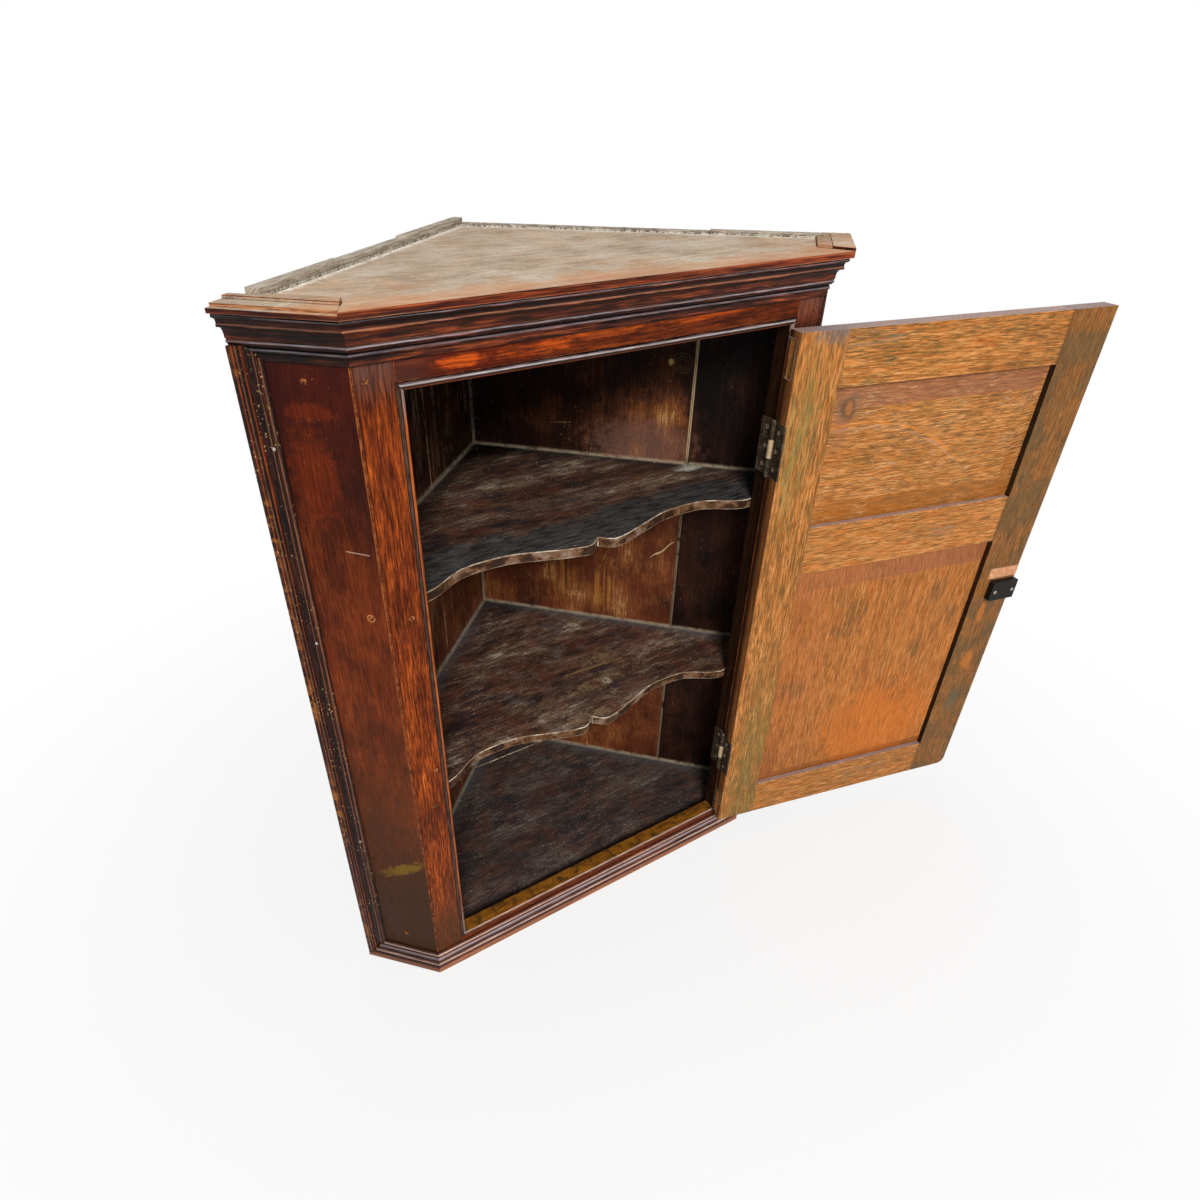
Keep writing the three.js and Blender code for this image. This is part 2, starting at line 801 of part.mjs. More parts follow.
function addHinges() {
  for (const [name, middle] of Object.entries(hingeMiddles)) {
    const [low, centre, high] = knuckleSpans(middle);
    const frameX = [frameLeafX, frameLeafX + leafThick];
    const doorX = [edgeX - leafThick, edgeX];
    const frameHoles = frameScrewHoles().map((hole) => hole.translate(-axisX, axisForward, 0));
    const frameLeaf = leaf(middle, frameX, axisForward + frameThick, [centre], [low, high], frameHoles);
    const doorHoles = doorScrewHoles([middle]);
    const doorLeaf = leaf(middle, doorX, axisForward + doorThick, [low, high], [centre], doorHoles);
    addPiece(carcass, `${name}_hinge_frame_leaf`, frameLeaf.translate(axisX, -axisForward, 0), 'iron');
    addPiece(carcass, `${name}_hinge_pin`, pin(middle).translate(axisX, -axisForward, 0), 'iron');
    addPiece(door, `${name}_hinge_door_leaf`, doorLeaf, 'iron');
    screwRows.forEach((row, i) => {
      const z = middle + row * screwPitch;
      const inFrame = slottedScrew().translate(leafFace, frameScrewY - axisForward, z);
      const inDoor = slottedScrew().rotateZ(Math.PI).translate(edgeX, doorScrewY, z);
      addPiece(carcass, `${name}_hinge_frame_screw_${i + 1}`, inFrame, 'iron');
      addPiece(door, `${name}_hinge_door_screw_${i + 1}`, inDoor, 'iron');
    });
  }
}

// Door: drawn shut round the hinge axis. u runs from the hinge edge to the closing edge.
const faceY = axisForward;
const backY = axisForward + doorThick;
const midY = (faceY + backY) / 2;
const closingU = doorWidth - closingStileWidth;

function doorBlock([u0, u1], yRange, zRange) {
  return block([edgeX - u1, edgeX - u0], yRange, zRange);
}

function doorRails() {
  const middleLow = doorLow + middleRailShare * doorHeight;
  return {
    door_top_rail: [doorHigh - topRailWidth, doorHigh],
    door_middle_rail: [middleLow, middleLow + middleRailWidth],
    door_bottom_rail: [doorLow, doorLow + bottomRailWidth],
  };
}

function doorPanels() {
  const rails = doorRails();
  return {
    door_panel_upper: [rails.door_middle_rail[1], rails.door_top_rail[0]],
    door_panel_lower: [rails.door_bottom_rail[1], rails.door_middle_rail[0]],
  };
}

function railTenons([z0, z1], gap) {
  const y = [midY - doorTenonThick / 2 - gap, midY + doorTenonThick / 2 + gap];
  const z = [z0 + doorTenonShoulder - gap, z1 - doorTenonShoulder + gap];
  const length = doorTenonLength + gap;
  return [
    doorBlock([hingeStileWidth - length, hingeStileWidth + overrun], y, z),
    doorBlock([closingU - overrun, closingU + length], y, z),
  ];
}

function panelGroove([z0, z1]) {
  const u = [hingeStileWidth - grooveDepth, closingU + grooveDepth];
  const y = [midY - grooveWidth / 2, midY + grooveWidth / 2];
  return doorBlock(u, y, [z0 - grooveDepth, z1 + grooveDepth]);
}

function panelRing([u0, u1], [z0, z1], y) {
  const left = edgeX - u1;
  const right = edgeX - u0;
  return [[left, y, z0], [right, y, z0], [right, y, z1], [left, y, z1]];
}

function inset([a0, a1], fromLow, fromHigh) {
  return [a0 + fromLow, a1 - fromHigh];
}

function panel(z, bevels) {
  const u = [hingeStileWidth, closingU];
  const tongueY = [midY - tongueThick / 2, midY + tongueThick / 2];
  const frontField = faceY + panelFront;
  const backField = frontField + panelThick;
  const frontU = inset(u, panelFrontBevel, panelFrontBevel);
  const frontZ = inset(z, panelFrontBevel, panelFrontBevel);
  const backU = inset(u, bevels.hinge, bevels.closing);
  const backZ = inset(z, bevels.bottom, bevels.top);
  const outU = inset(u, -tongueLength, -tongueLength);
  const outZ = inset(z, -tongueLength, -tongueLength);
  const rings = [
    panelRing(frontU, frontZ, frontField),
    panelRing(frontU, frontZ, frontField + panelStep),
    panelRing(inset(u, fitGap, fitGap), inset(z, fitGap, fitGap), tongueY[0]),
    panelRing(outU, outZ, tongueY[0]),
    panelRing(outU, outZ, tongueY[1]),
    panelRing(inset(u, fitGap, fitGap), inset(z, fitGap, fitGap), tongueY[1]),
    panelRing(backU, backZ, backField - panelStep),
    panelRing(backU, backZ, backField),
  ];
  return skin(rings, [[0, 1, 2], [0, 2, 3]]);
}

function wornStile() {
  const radius = wornCornerRadius;
  const pull = wornCornerPull * radius;
  const x0 = edgeX - doorWidth;
  const x1 = edgeX - closingU - fitGap;
  const shape = new THREE.Shape();
  shape.moveTo(x1, doorLow);
  shape.lineTo(x1, doorHigh);
  shape.lineTo(x0, doorHigh);
  shape.lineTo(x0, doorLow + radius);
  shape.quadraticCurveTo(x0 + pull, doorLow + pull, x0 + radius, doorLow);
  const options = { depth: doorThick, bevelEnabled: false, curveSegments: curveSteps };
  return new THREE.ExtrudeGeometry(shape, options).rotateX(Math.PI / 2).translate(0, backY, 0);
}

function oldRecesses() {
  const u = [-overrun, oldRecessDepth];
  const y = [faceY + oldRecessInset, faceY + oldRecessInset + oldRecessWidth];
  return [
    doorBlock(u, y, [doorHigh - oldRecessDrop - oldRecessLength, doorHigh - oldRecessDrop]),
    doorBlock(u, y, [doorLow + oldRecessDrop, doorLow + oldRecessDrop + oldRecessLength]),
  ];
}

function leafRecess(middle) {
  const reach = hingeLength / 2 + fitGap;
  const x = [edgeX - leafThick - fitGap, overrun];
  return block(x, [faceY - overrun, backY + overrun], [middle - reach, middle + reach]);
}

function addDoor() {
  const rails = doorRails();
  const mortises = Object.values(rails).flatMap((span) => railTenons(span, fitGap));
  const grooves = Object.values(doorPanels()).map(panelGroove);
  const middles = Object.values(hingeMiddles);
  const housings = middles.flatMap((middle) => [knuckleHousing(middle), leafRecess(middle)]);
  const hingeStile = doorBlock([0, hingeStileWidth], [faceY, backY], [doorLow, doorHigh]);
  const hingeCuts = [...mortises, ...grooves, ...housings, ...doorScrewHoles(middles), ...oldRecesses()];
  const closingCuts = [...mortises, ...grooves, keyhole(overrun), patchBlock(fitGap)];
  addPiece(door, 'door_hinge_stile', cut(hingeStile, hingeCuts), 'doorOak');
  addPiece(door, 'door_closing_stile', cut(wornStile(), closingCuts), 'doorOak');
  for (const [name, span] of Object.entries(rails)) {
    const body = doorBlock([hingeStileWidth + fitGap, closingU - fitGap], [faceY, backY], span);
    addPiece(door, name, join(cut(body, grooves), railTenons(span, 0)), 'doorOak');
  }
  for (const [name, span] of Object.entries(doorPanels())) {
    addPiece(door, name, panel(span, panelBackBevels[name]), 'doorOak');
  }
}

// Lock
const lockMiddle = doorLow + lockHeightShare * doorHeight;
const lockEnd = doorWidth - lockInset;
const lockY = [backY + fitGap, backY + fitGap + lockThick];
const boltY = (lockY[0] + lockY[1]) / 2;
const keyU = doorWidth - keyInset;

function keyholeShape() {
  const half = keySlotWidth / 2;
  const start = Math.asin(half / keyholeRadius);
  const path = new THREE.Path();
  path.absarc(0, 0, keyholeRadius, start - Math.PI / 2, (3 * Math.PI) / 2 - start, false);
  path.lineTo(-half, -keySlotLength);
  path.lineTo(half, -keySlotLength);
  return path.getPoints(curveSteps * 2);
}

function keyhole(reach) {
  const shape = new THREE.Shape(keyholeShape());
  const depth = doorThick + reach + keyPocketDepth + fitGap;
  const solid = new THREE.ExtrudeGeometry(shape, { depth, bevelEnabled: false });
  return solid.rotateX(Math.PI / 2).translate(edgeX - keyU, backY + fitGap + keyPocketDepth, lockMiddle);
}

function patchBlock(gap) {
  const high = lockMiddle + lockHeight / 2 + patchGap;
  const u = [doorWidth - patchLength - gap, doorWidth + (gap > 0 ? overrun : -fitGap)];
  const y = [backY - patchDepth - gap, backY + (gap > 0 ? overrun : patchProud)];
  return doorBlock(u, y, [high - gap, high + patchHeight + gap]);
}

function addLock() {
  const half = lockHeight / 2;
  const body = doorBlock([lockEnd - lockWidth, lockEnd], lockY, [lockMiddle - half, lockMiddle + half]);
  const boltU = [lockEnd - boltLength, lockEnd];
  const across = boltThick / 2;
  const up = boltHeight / 2;
  const bolt = doorBlock(boltU, [boltY - across, boltY + across], [lockMiddle - up, lockMiddle + up]);
  const channel = doorBlock(
    [boltU[0] - boltPlay, boltU[1] + overrun],
    [boltY - across - boltPlay, boltY + across + boltPlay],
    [lockMiddle - up - boltPlay, lockMiddle + up + boltPlay],
  );
  addPiece(door, 'lock_case', cut(body, [channel, keyhole(0)]), 'iron');
  addPiece(door, 'lock_bolt', bolt, 'iron');
  addPiece(door, 'lock_packing', patchBlock(0), 'patchWood');
  addPiece(door, 'escutcheon', escutcheon(), 'iron');
}

function escutcheon() {
  const shape = new THREE.Shape();
  shape.absellipse(0, 0, escutcheonHalf, escutcheonHeight / 2, 0, 2 * Math.PI, false, 0);
  shape.holes.push(new THREE.Path(keyholeShape().reverse()));
  const options = { depth: escutcheonThick, bevelEnabled: false, curveSegments: roundSides };
  const plate = new THREE.ExtrudeGeometry(shape, options);
  return plate.rotateX(Math.PI / 2).translate(edgeX - keyU, faceY - fitGap, lockMiddle);
}

addFrame();
addOpeningBead();
addSideReturns();
addBackWall('left', -backThick, leftJointShares, leftBoardRises);
addBackWall('right', fitGap, rightJointShares, rightBoardRises);
addTopBoard();
addFloor();
addShelves();
addMouldings();
addHinges();
addDoor();
addLock();

door.position.set(axisX, -axisForward, 0);
door.rotation.z = THREE.MathUtils.degToRad(doorOpenDegrees);
cupboard.position.y = -frameThick / 2;

export default cupboard;
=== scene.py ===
import json
import math
import random
from functools import partial

import bpy
from mathutils import Matrix, Vector
from mathutils.bvhtree import BVHTree

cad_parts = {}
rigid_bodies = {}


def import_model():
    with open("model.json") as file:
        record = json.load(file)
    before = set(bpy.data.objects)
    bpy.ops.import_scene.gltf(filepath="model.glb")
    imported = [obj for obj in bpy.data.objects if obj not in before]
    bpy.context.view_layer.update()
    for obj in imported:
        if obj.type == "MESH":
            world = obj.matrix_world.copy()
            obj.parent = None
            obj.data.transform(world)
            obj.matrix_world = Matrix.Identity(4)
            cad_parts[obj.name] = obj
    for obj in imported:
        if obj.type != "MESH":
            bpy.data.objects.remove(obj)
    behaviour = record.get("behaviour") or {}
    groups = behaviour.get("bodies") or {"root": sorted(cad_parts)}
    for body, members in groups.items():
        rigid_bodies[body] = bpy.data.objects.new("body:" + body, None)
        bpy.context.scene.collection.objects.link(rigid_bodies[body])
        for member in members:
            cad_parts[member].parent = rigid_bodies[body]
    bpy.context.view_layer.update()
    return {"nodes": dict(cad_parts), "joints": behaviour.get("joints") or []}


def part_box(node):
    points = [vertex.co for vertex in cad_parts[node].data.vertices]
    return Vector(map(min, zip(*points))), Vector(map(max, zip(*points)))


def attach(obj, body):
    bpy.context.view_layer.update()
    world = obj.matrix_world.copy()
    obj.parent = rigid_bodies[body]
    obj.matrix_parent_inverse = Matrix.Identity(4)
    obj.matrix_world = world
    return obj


for thing in list(bpy.data.objects):
    bpy.data.objects.remove(thing)

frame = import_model()
nodes = frame["nodes"]

# Places, in metres, that the finishes and the small pieces are worked out from
hinge = next(joint for joint in frame["joints"] if joint["name"] == "door_swing")
hinge_axis = Vector((hinge["pos_m"][0], hinge["pos_m"][1], 0))
door_turn = math.radians(-hinge["range_deg"][0])
front_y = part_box("frame_stile_left")[0].y
case_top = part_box("top_board")[1].z
case_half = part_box("frame_stile_right")[1].x
floor_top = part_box("floor_board_front")[1].z
lower_shelf_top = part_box("shelf_lower")[1].z
upper_shelf_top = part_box("shelf_upper")[1].z
inner_corner = Vector((0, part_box("shelf_upper")[1].y, 0))
slope = math.sqrt(0.5)
UP = Vector((0, 0, 1))
RIGHT = Vector((1, 0, 0))
BACK = Vector((0, 1, 0))
WALL_WAYS = {"left": Vector((-slope, -slope, 0)), "right": Vector((slope, -slope, 0))}
RETURN_WAYS = {"left": Vector((-slope, slope, 0)), "right": Vector((slope, slope, 0))}


def paint(red, green, blue):
    """A colour given as display values from 0 to 255, as the linear colour that shaders use."""
    linear = []
    for value in (red, green, blue):
        share = value / 255
        linear.append(share / 12.92 if share <= 0.04045 else ((share + 0.055) / 1.055) ** 2.4)
    return (*linear, 1.0)


class Value:
    """A number, a place or a colour that a material works out at each point."""

    def __init__(self, shader, socket):
        self.shader = shader
        self.socket = socket

    def __add__(self, other):
        return self.shader.math("ADD", self, other)

    def __sub__(self, other):
        return self.shader.math("SUBTRACT", self, other)

    def __rsub__(self, other):
        return self.shader.math("SUBTRACT", other, self)

    def __mul__(self, other):
        return self.shader.math("MULTIPLY", self, other)

    def __abs__(self):
        return self.shader.math("ABSOLUTE", self)

    __radd__ = __add__
    __rmul__ = __mul__


class Shader:
    """One material and short ways to add the nodes that make its pattern.

    It reads each point's place and facing in the row frame, and those of the door as if it were shut.
    """

    def __init__(self, name, swings=False, kind="materials"):
        self.material = getattr(bpy.data, kind).new(name)
        self.material.use_nodes = True
        self.tree = self.material.node_tree
        self.tree.nodes.clear()
        self.known = {}
        point = self.node("ShaderNodeTexCoord")
        self.place = Value(self, point.outputs["Object"])
        self.facing = Value(self, point.outputs["Normal"])
        if swings:
            self.place = self.shut(self.place, hinge_axis)
            self.facing = self.shut(self.facing, Vector((0, 0, 0)))

    def node(self, kind, **settings):
        made = self.tree.nodes.new(kind)
        for key, value in settings.items():
            setattr(made, key, value)
        return made

    def feed(self, socket, value):
        if isinstance(value, Value):
            self.tree.links.new(value.socket, socket)
        elif isinstance(value, tuple):
            socket.default_value = paint(*value)
        elif value is not None:
            socket.default_value = value

    def math(self, operation, first, second=None, clamp=False):
        made = self.node("ShaderNodeMath", operation=operation, use_clamp=clamp)
        self.feed(made.inputs[0], first)
        self.feed(made.inputs[1], second)
        return Value(self, made.outputs[0])

    def length(self, across, up):
        return self.math("SQRT", across * across + up * up)

    def clamped(self, value):
        return self.math("ADD", value, 0.0, clamp=True)

    def most(self, first, second):
        return self.math("MAXIMUM", first, second)

    def vector(self, operation, first, second=None, output=0):
        made = self.node("ShaderNodeVectorMath", operation=operation)
        self.feed(made.inputs[0], first)
        self.feed(made.inputs[1], second)
        return Value(self, made.outputs[output])

    def combine(self, x, y, z):
        made = self.node("ShaderNodeCombineXYZ")
        for socket, value in zip(made.inputs, (x, y, z)):
            self.feed(socket, value)
        return Value(self, made.outputs[0])

    def noise(self, place, detail=2.0, roughness=0.5):
        """Noise with cells one unit wide in the given place."""
        made = self.node("ShaderNodeTexNoise")
        self.feed(made.inputs["Vector"], place)
        made.inputs["Scale"].default_value = 1.0
        made.inputs["Detail"].default_value = detail
        made.inputs["Roughness"].default_value = roughness
        return Value(self, made.outputs["Fac"])

    def smooth(self, value, start, end, low=0.0, high=1.0):
        """Goes smoothly from low to high as value goes from start to end."""
        made = self.node("ShaderNodeMapRange", interpolation_type="SMOOTHSTEP")
        for socket, given in zip(made.inputs, (value, start, end, low, high)):
            self.feed(socket, given)
        return Value(self, made.outputs[0])

    def ramp(self, value, stops):
        made = self.node("ShaderNodeValToRGB")
        self.feed(made.inputs[0], value)
        marks = made.color_ramp.elements
        while len(marks) < len(stops):
            marks.new(0.5)
        for mark, (place, colour) in zip(marks, stops):
            mark.position = place
            mark.color = paint(*colour)
        return Value(self, made.outputs[0])

    def mix(self, share, first, second):
        made = self.node("ShaderNodeMix", data_type="RGBA")
        self.feed(made.inputs["Factor"], share)
        self.feed(made.inputs[6], first)
        self.feed(made.inputs[7], second)
        return Value(self, made.outputs[2])

    def dot(self, way):
        """How far a point lies from the origin along a way."""
        return self.vector("DOT_PRODUCT", self.place, way, output="Value")

    def faces(self, way):
        """How far a point's facing goes along a way, from -1 to 1."""
        return self.vector("DOT_PRODUCT", self.facing, way, output="Value")

    def shut(self, vector, centre):
        """Turns a vector of the open door back to the shut door."""
        turn = self.node("ShaderNodeVectorRotate", rotation_type="Z_AXIS")
        self.feed(turn.inputs["Vector"], vector)
        turn.inputs["Center"].default_value = centre
        turn.inputs["Angle"].default_value = -door_turn
        return Value(self, turn.outputs[0])

    def axes(self, origin, way):
        """Reads the place along a board's face, up it and through it."""
        normal = Vector((way.y, -way.x, 0))
        self.wide = self.dot(way) - origin.dot(way)
        self.deep = self.dot(normal) - origin.dot(normal)
        self.high = self.dot(UP)
        self.lifted = self.faces(UP)
        self.face = (self.wide, self.high)

    def lie_flat(self):
        """Lets the spots and scratches lie on a level face, by its places to the right and back."""
        self.face = (self.dot(RIGHT), self.dot(BACK))

    def near(self, value, centre, reach):
        """One at the centre value, down to zero at the reach on both sides of it."""
        return self.smooth(abs(value - centre), 0.0, reach, 1.0, 0.0)

    def within(self, value, low, high, soft):
        """One between two levels, down to zero at both of them."""
        return self.smooth(value, low, low + soft) * self.smooth(value, high, high - soft)

    def offsets(self, centre):
        """How far a point of the face lies across and up from another."""
        return self.face[0] - centre[0], self.face[1] - centre[1]

    def spot(self, centre, reach, ragged=0.5):
        """An oval patch with a ragged rim."""
        across, up = self.offsets(centre)
        far = self.length(across * (1 / reach[0]), up * (1 / reach[1]))
        far += (self.grains(90) - 0.5) * (2 * ragged)
        return self.smooth(far, 0.45, 1.05, 1.0, 0.0)

    def blots(self, rows, texture=1.0):
        """Patches, as rows of centre, reach, raggedness, strength and colour."""
        for centre, reach, ragged, strength, tint in rows:
            self.stain(self.spot(centre, reach, ragged) * texture * strength, tint)

    def ring(self, centre, radius, reach):
        """A thin ring round a point of the face."""
        return self.near(self.length(*self.offsets(centre)), radius, reach)

    def scratch(self, start, end, reach):
        """A thin line between two points of the face."""
        length = math.dist(start, end)
        way = ((end[0] - start[0]) / length, (end[1] - start[1]) / length)
        right, up = self.offsets(start)
        across = right * -way[1] + up * way[0]
        along = right * way[0] + up * way[1]
        return self.near(across, 0.0, reach) * self.within(along, 0.0, length, reach)

    def stain(self, share, tint):
        """Lays a colour over the material's own colour."""
        self.colour = self.mix(share, self.colour, tint)

    def lines(self, place, rows, uneven):
        """Lines along a moulding, as rows of place, half width, strength and colour."""
        for centre, reach, strength, tint in rows:
            broken = 1.0 if tint in (BLACK, DARK) else uneven
            self.stain(self.near(place, centre, reach) * broken * strength, tint)

    def scaled(self, scale):
        return self.vector("MULTIPLY", self.place, Vector((scale, scale, scale)))

    def grains(self, scale):
        """Even noise of a scale per metre, made once in each material."""
        if scale not in self.known:
            self.known[scale] = self.noise(self.scaled(scale), 3.0, 0.6)
        return self.known[scale]

    def grit(self, scale, start, end):
        """Grains and specks: noise of a scale per metre, cut between two levels."""
        return self.smooth(self.grains(scale), start, end)

    def finish(self, roughness, height, lift, gloss, metal=0.0):
        surface = self.node("ShaderNodeBsdfPrincipled")
        self.feed(surface.inputs["Base Color"], self.colour)
        self.feed(surface.inputs["Roughness"], roughness)
        surface.inputs["Metallic"].default_value = metal
        surface.inputs["Specular IOR Level"].default_value = gloss
        bump = self.node("ShaderNodeBump")
        bump.inputs["Strength"].default_value = 1.0
        bump.inputs["Distance"].default_value = lift
        self.feed(bump.inputs["Height"], height)
        self.tree.links.new(bump.outputs[0], surface.inputs["Normal"])
        return self.end(surface)

    def end(self, surface, kind="Material"):
        """Ends the material or the world with its surface."""
        out = self.node(f"ShaderNodeOutput{kind}")
        self.tree.links.new(surface.outputs[0], out.inputs["Surface"])
        return self.material


# How deep the pores, the dry grain and the pits of iron go, and how far the painted shade of a hollow
# reaches
PORE_DEPTH = 0.0004
GRAIN_DEPTH = 0.0005
PIT_DEPTH = 0.0003
PIT_SCALE = 1500
HOLLOW_REACH = 0.008
HOLLOW_RAYS = 6

# Tones of each finish, from the darkest to the lightest: share of the range and colour
SHOW_TONES = (
    (0.0, (30, 10, 4)),
    (0.25, (66, 23, 6)),
    (0.5, (110, 46, 16)),
    (0.75, (160, 72, 22)),
    (1.0, (220, 120, 46)),
)
MOULDING_TONES = (
    (0.0, (16, 7, 6)),
    (0.3, (46, 20, 13)),
    (0.6, (90, 42, 24)),
    (0.85, (150, 70, 34)),
    (1.0, (200, 114, 62)),
)
INNER_TONES = (
    (0.0, (12, 6, 5)),
    (0.35, (42, 22, 15)),
    (0.65, (92, 51, 29)),
    (0.9, (142, 86, 46)),
    (1.0, (184, 138, 90)),
)
SHELF_TONES = (
    (0.0, (10, 8, 9)),
    (0.35, (42, 30, 27)),
    (0.65, (82, 58, 46)),
    (0.9, (130, 110, 92)),
    (1.0, (178, 164, 142)),
)
FLOOR_TONES = (
    (0.0, (12, 12, 16)),
    (0.35, (36, 33, 35)),
    (0.65, (70, 58, 54)),
    (0.9, (108, 98, 90)),
    (1.0, (160, 150, 138)),
)
TOP_TONES = (
    (0.0, (96, 72, 52)),
    (0.3, (146, 122, 97)),
    (0.6, (178, 157, 135)),
    (0.85, (197, 181, 162)),
    (1.0, (220, 210, 194)),
)
DOOR_TONES = (
    (0.0, (84, 54, 26)),
    (0.3, (142, 92, 42)),
    (0.55, (184, 122, 60)),
    (0.8, (210, 144, 82)),
    (1.0, (234, 186, 128)),
)
RIM_TONES = (
    (0.28, (104, 88, 72)),
    (0.45, (150, 136, 120)),
    (0.55, (180, 168, 152)),
    (0.75, (214, 206, 192)),
)
DRY_TONES = (
    (0.0, (44, 32, 24)),
    (0.35, (84, 64, 48)),
    (0.65, (118, 94, 72)),
    (0.9, (150, 126, 100)),
    (1.0, (178, 156, 130)),
)
EDGE_TONES = (
    (0.0, (30, 18, 12)),
    (0.35, (64, 42, 28)),
    (0.6, (104, 70, 44)),
    (0.85, (122, 98, 82)),
    (1.0, (176, 158, 142)),
)

# Joints of the back boards, from the inner corner along each wall
RIGHT_JOINT = 0.355
LEFT_JOINTS = (0.18, 0.34)
HINGE_HEIGHTS = [sum(corner.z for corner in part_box(f"{end}_hinge_pin")) / 2 for end in ("upper", "lower")]
# Old hinge recesses in the door's edge, from height to height
OLD_RECESSES = ((0.857, 0.906), (0.085, 0.114))
BEAD_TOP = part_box("opening_bead_top")[1].z
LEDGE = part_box("opening_bead_bottom")[1].z
LEDGE_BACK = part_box("opening_bead_bottom")[1].y
OPEN_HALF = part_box("opening_bead_right")[0].x
# The door's rails, from joint to joint
RAIL_SPAN = (0.0685, 0.4185)

BLACK = (16, 8, 7)
DARK = (46, 20, 11)
# Painted highlight of the beads and of what faces up
HIGHLIGHT_TINT = (178, 172, 182)
# Worn arrises, also laid as painted highlights along the mouldings
WORN_AND_HIGHLIGHT = (186, 124, 92)
# Painted highlight along the base moulding
PALE = (226, 192, 176)
SHEEN = (170, 166, 176)
ORANGE = (196, 84, 22)

# Lines along the mouldings, painted shade in the hollows and painted highlights on the beads and arrises,
# with some wear: place, half width, strength and colour
CORNICE_LINES = (
    (-0.0074, 0.0009, 0.8, WORN_AND_HIGHLIGHT),
    (-0.0088, 0.0013, 1.0, BLACK),
    (-0.0102, 0.0010, 0.9, HIGHLIGHT_TINT),
    (-0.0125, 0.0012, 0.8, DARK),
    (-0.0148, 0.0022, 1.0, BLACK),
    (-0.0186, 0.0012, 0.9, WORN_AND_HIGHLIGHT),
    (-0.0205, 0.0012, 1.0, BLACK),
    (-0.0232, 0.0024, 0.85, DARK),
    (-0.0322, 0.0008, 0.8, DARK),
    (-0.0334, 0.0008, 0.8, WORN_AND_HIGHLIGHT),
    (-0.0352, 0.0011, 0.9, HIGHLIGHT_TINT),
    (-0.0372, 0.0010, 0.9, DARK),
    (-0.0390, 0.0014, 1.0, BLACK),
    (-0.0428, 0.0012, 0.9, HIGHLIGHT_TINT),
    (-0.0470, 0.0011, 0.95, BLACK),
    (-0.0528, 0.0012, 0.95, BLACK),
)
# The same for the base moulding: painted shade and painted highlights by height
BASE_LINES = (
    (0.0318, 0.0016, 0.9, DARK),
    (0.0282, 0.0019, 1.0, PALE),
    (0.0250, 0.0014, 1.0, BLACK),
    (0.0205, 0.0026, 0.9, SHEEN),
    (0.0168, 0.0014, 1.0, BLACK),
    (0.0142, 0.0018, 1.0, PALE),
    (0.0102, 0.0016, 1.0, BLACK),
    (0.0070, 0.0014, 0.8, WORN_AND_HIGHLIGHT),
)
# The same for the edge mouldings: painted shade and painted highlights across them
EDGE_LINES = (
    (0.1170, 0.0020, 0.8, DARK),
    (0.1128, 0.0012, 0.6, ORANGE),
    (0.1098, 0.0008, 0.4, WORN_AND_HIGHLIGHT),
    (0.1078, 0.0012, 0.98, BLACK),
    (0.1048, 0.0011, 0.7, ORANGE),
    (0.1028, 0.0011, 0.85, DARK),
    (0.0966, 0.0009, 0.5, WORN_AND_HIGHLIGHT),
    (0.0953, 0.0008, 0.8, BLACK),
    (0.0939, 0.0010, 0.6, ORANGE),
    (0.0925, 0.0009, 0.9, BLACK),
    (0.0908, 0.0010, 0.5, WORN_AND_HIGHLIGHT),
    (0.0882, 0.0018, 0.98, BLACK),
)


# The heart of the tree beside a board and behind it, and how the growth lines lean along it
PITH = (0.02, 0.09)
TAPER = 0.04


class Board(Shader):
    """The material of one oak board: growth lines, streaks, fibres and pores that follow its grain."""

    def __init__(self, name, origin, way, grain, seed, swings=False, ring=0.0055, fine=1.0, depth=1.0):
        super().__init__(name, swings)
        self.axes(origin, way)
        along, across, through = {
            "upright": (self.high, self.wide, self.deep),
            "level": (self.wide, self.high, self.deep),
            "flat": (self.wide, self.deep, self.high),
        }[grain]
        self.along = along + seed * 1.7
        slow = self.noise(self.combine(self.along * 3.0, across * 11.0, through * 11.0))
        self.across = across + (slow - 0.5) * 0.008
        self.through = through * depth + seed * 0.61
        radius = self.length(self.across - PITH[0], through + PITH[1])
        wander = self.noise(self.stretched(2.2, 14.0), 3.0)
        turns = (radius + along * TAPER + wander * 0.02) * (1 / ring)
        self.rings = self.smooth(self.math("SINE", turns * (2 * math.pi)), -0.6, 1.0)
        self.streaks = self.pattern(3.2, 150.0 * fine, 3.0)
        self.fibres = self.pattern(20.0, 360.0 * fine, 4.0, reach=0.15)
        self.dashes = self.pattern(44.0, 600.0 * fine, 3.0, reach=0.15)
        self.blotches = self.pattern(7.0, 20.0, 3.0)
        holes = self.noise(self.stretched(50.0, 700.0 * fine), 2.0, 0.6)
        self.pores = self.smooth(holes, 0.55, 0.64) * (0.5 + self.rings * 0.5)

    def stretched(self, along_scale, across_scale, shift=0.0):
        """The place in the board, with a scale per metre along its grain and one across it."""
        return self.combine(
            (self.along + shift) * along_scale,
            self.across * across_scale,
            self.through * across_scale,
        )

    def pattern(self, along_scale, across_scale, detail, shift=0.0, reach=0.19):
        """Noise along the grain, spread over the whole range from zero to one."""
        noise = self.noise(self.stretched(along_scale, across_scale, shift), detail, 0.68)
        return self.smooth(noise, 0.5 - reach, 0.5 + reach)

    def tone(self, middle, **weights):
        """A level moved up and down by the board's patterns, each with its own weight."""
        for pattern, weight in weights.items():
            middle += (getattr(self, pattern) - 0.5) * weight
        return self.clamped(middle)


def cloud(s, scale):
    """Soft patches with no direction, from zero to one."""
    return s.smooth(s.grains(scale), 0.32, 0.68)


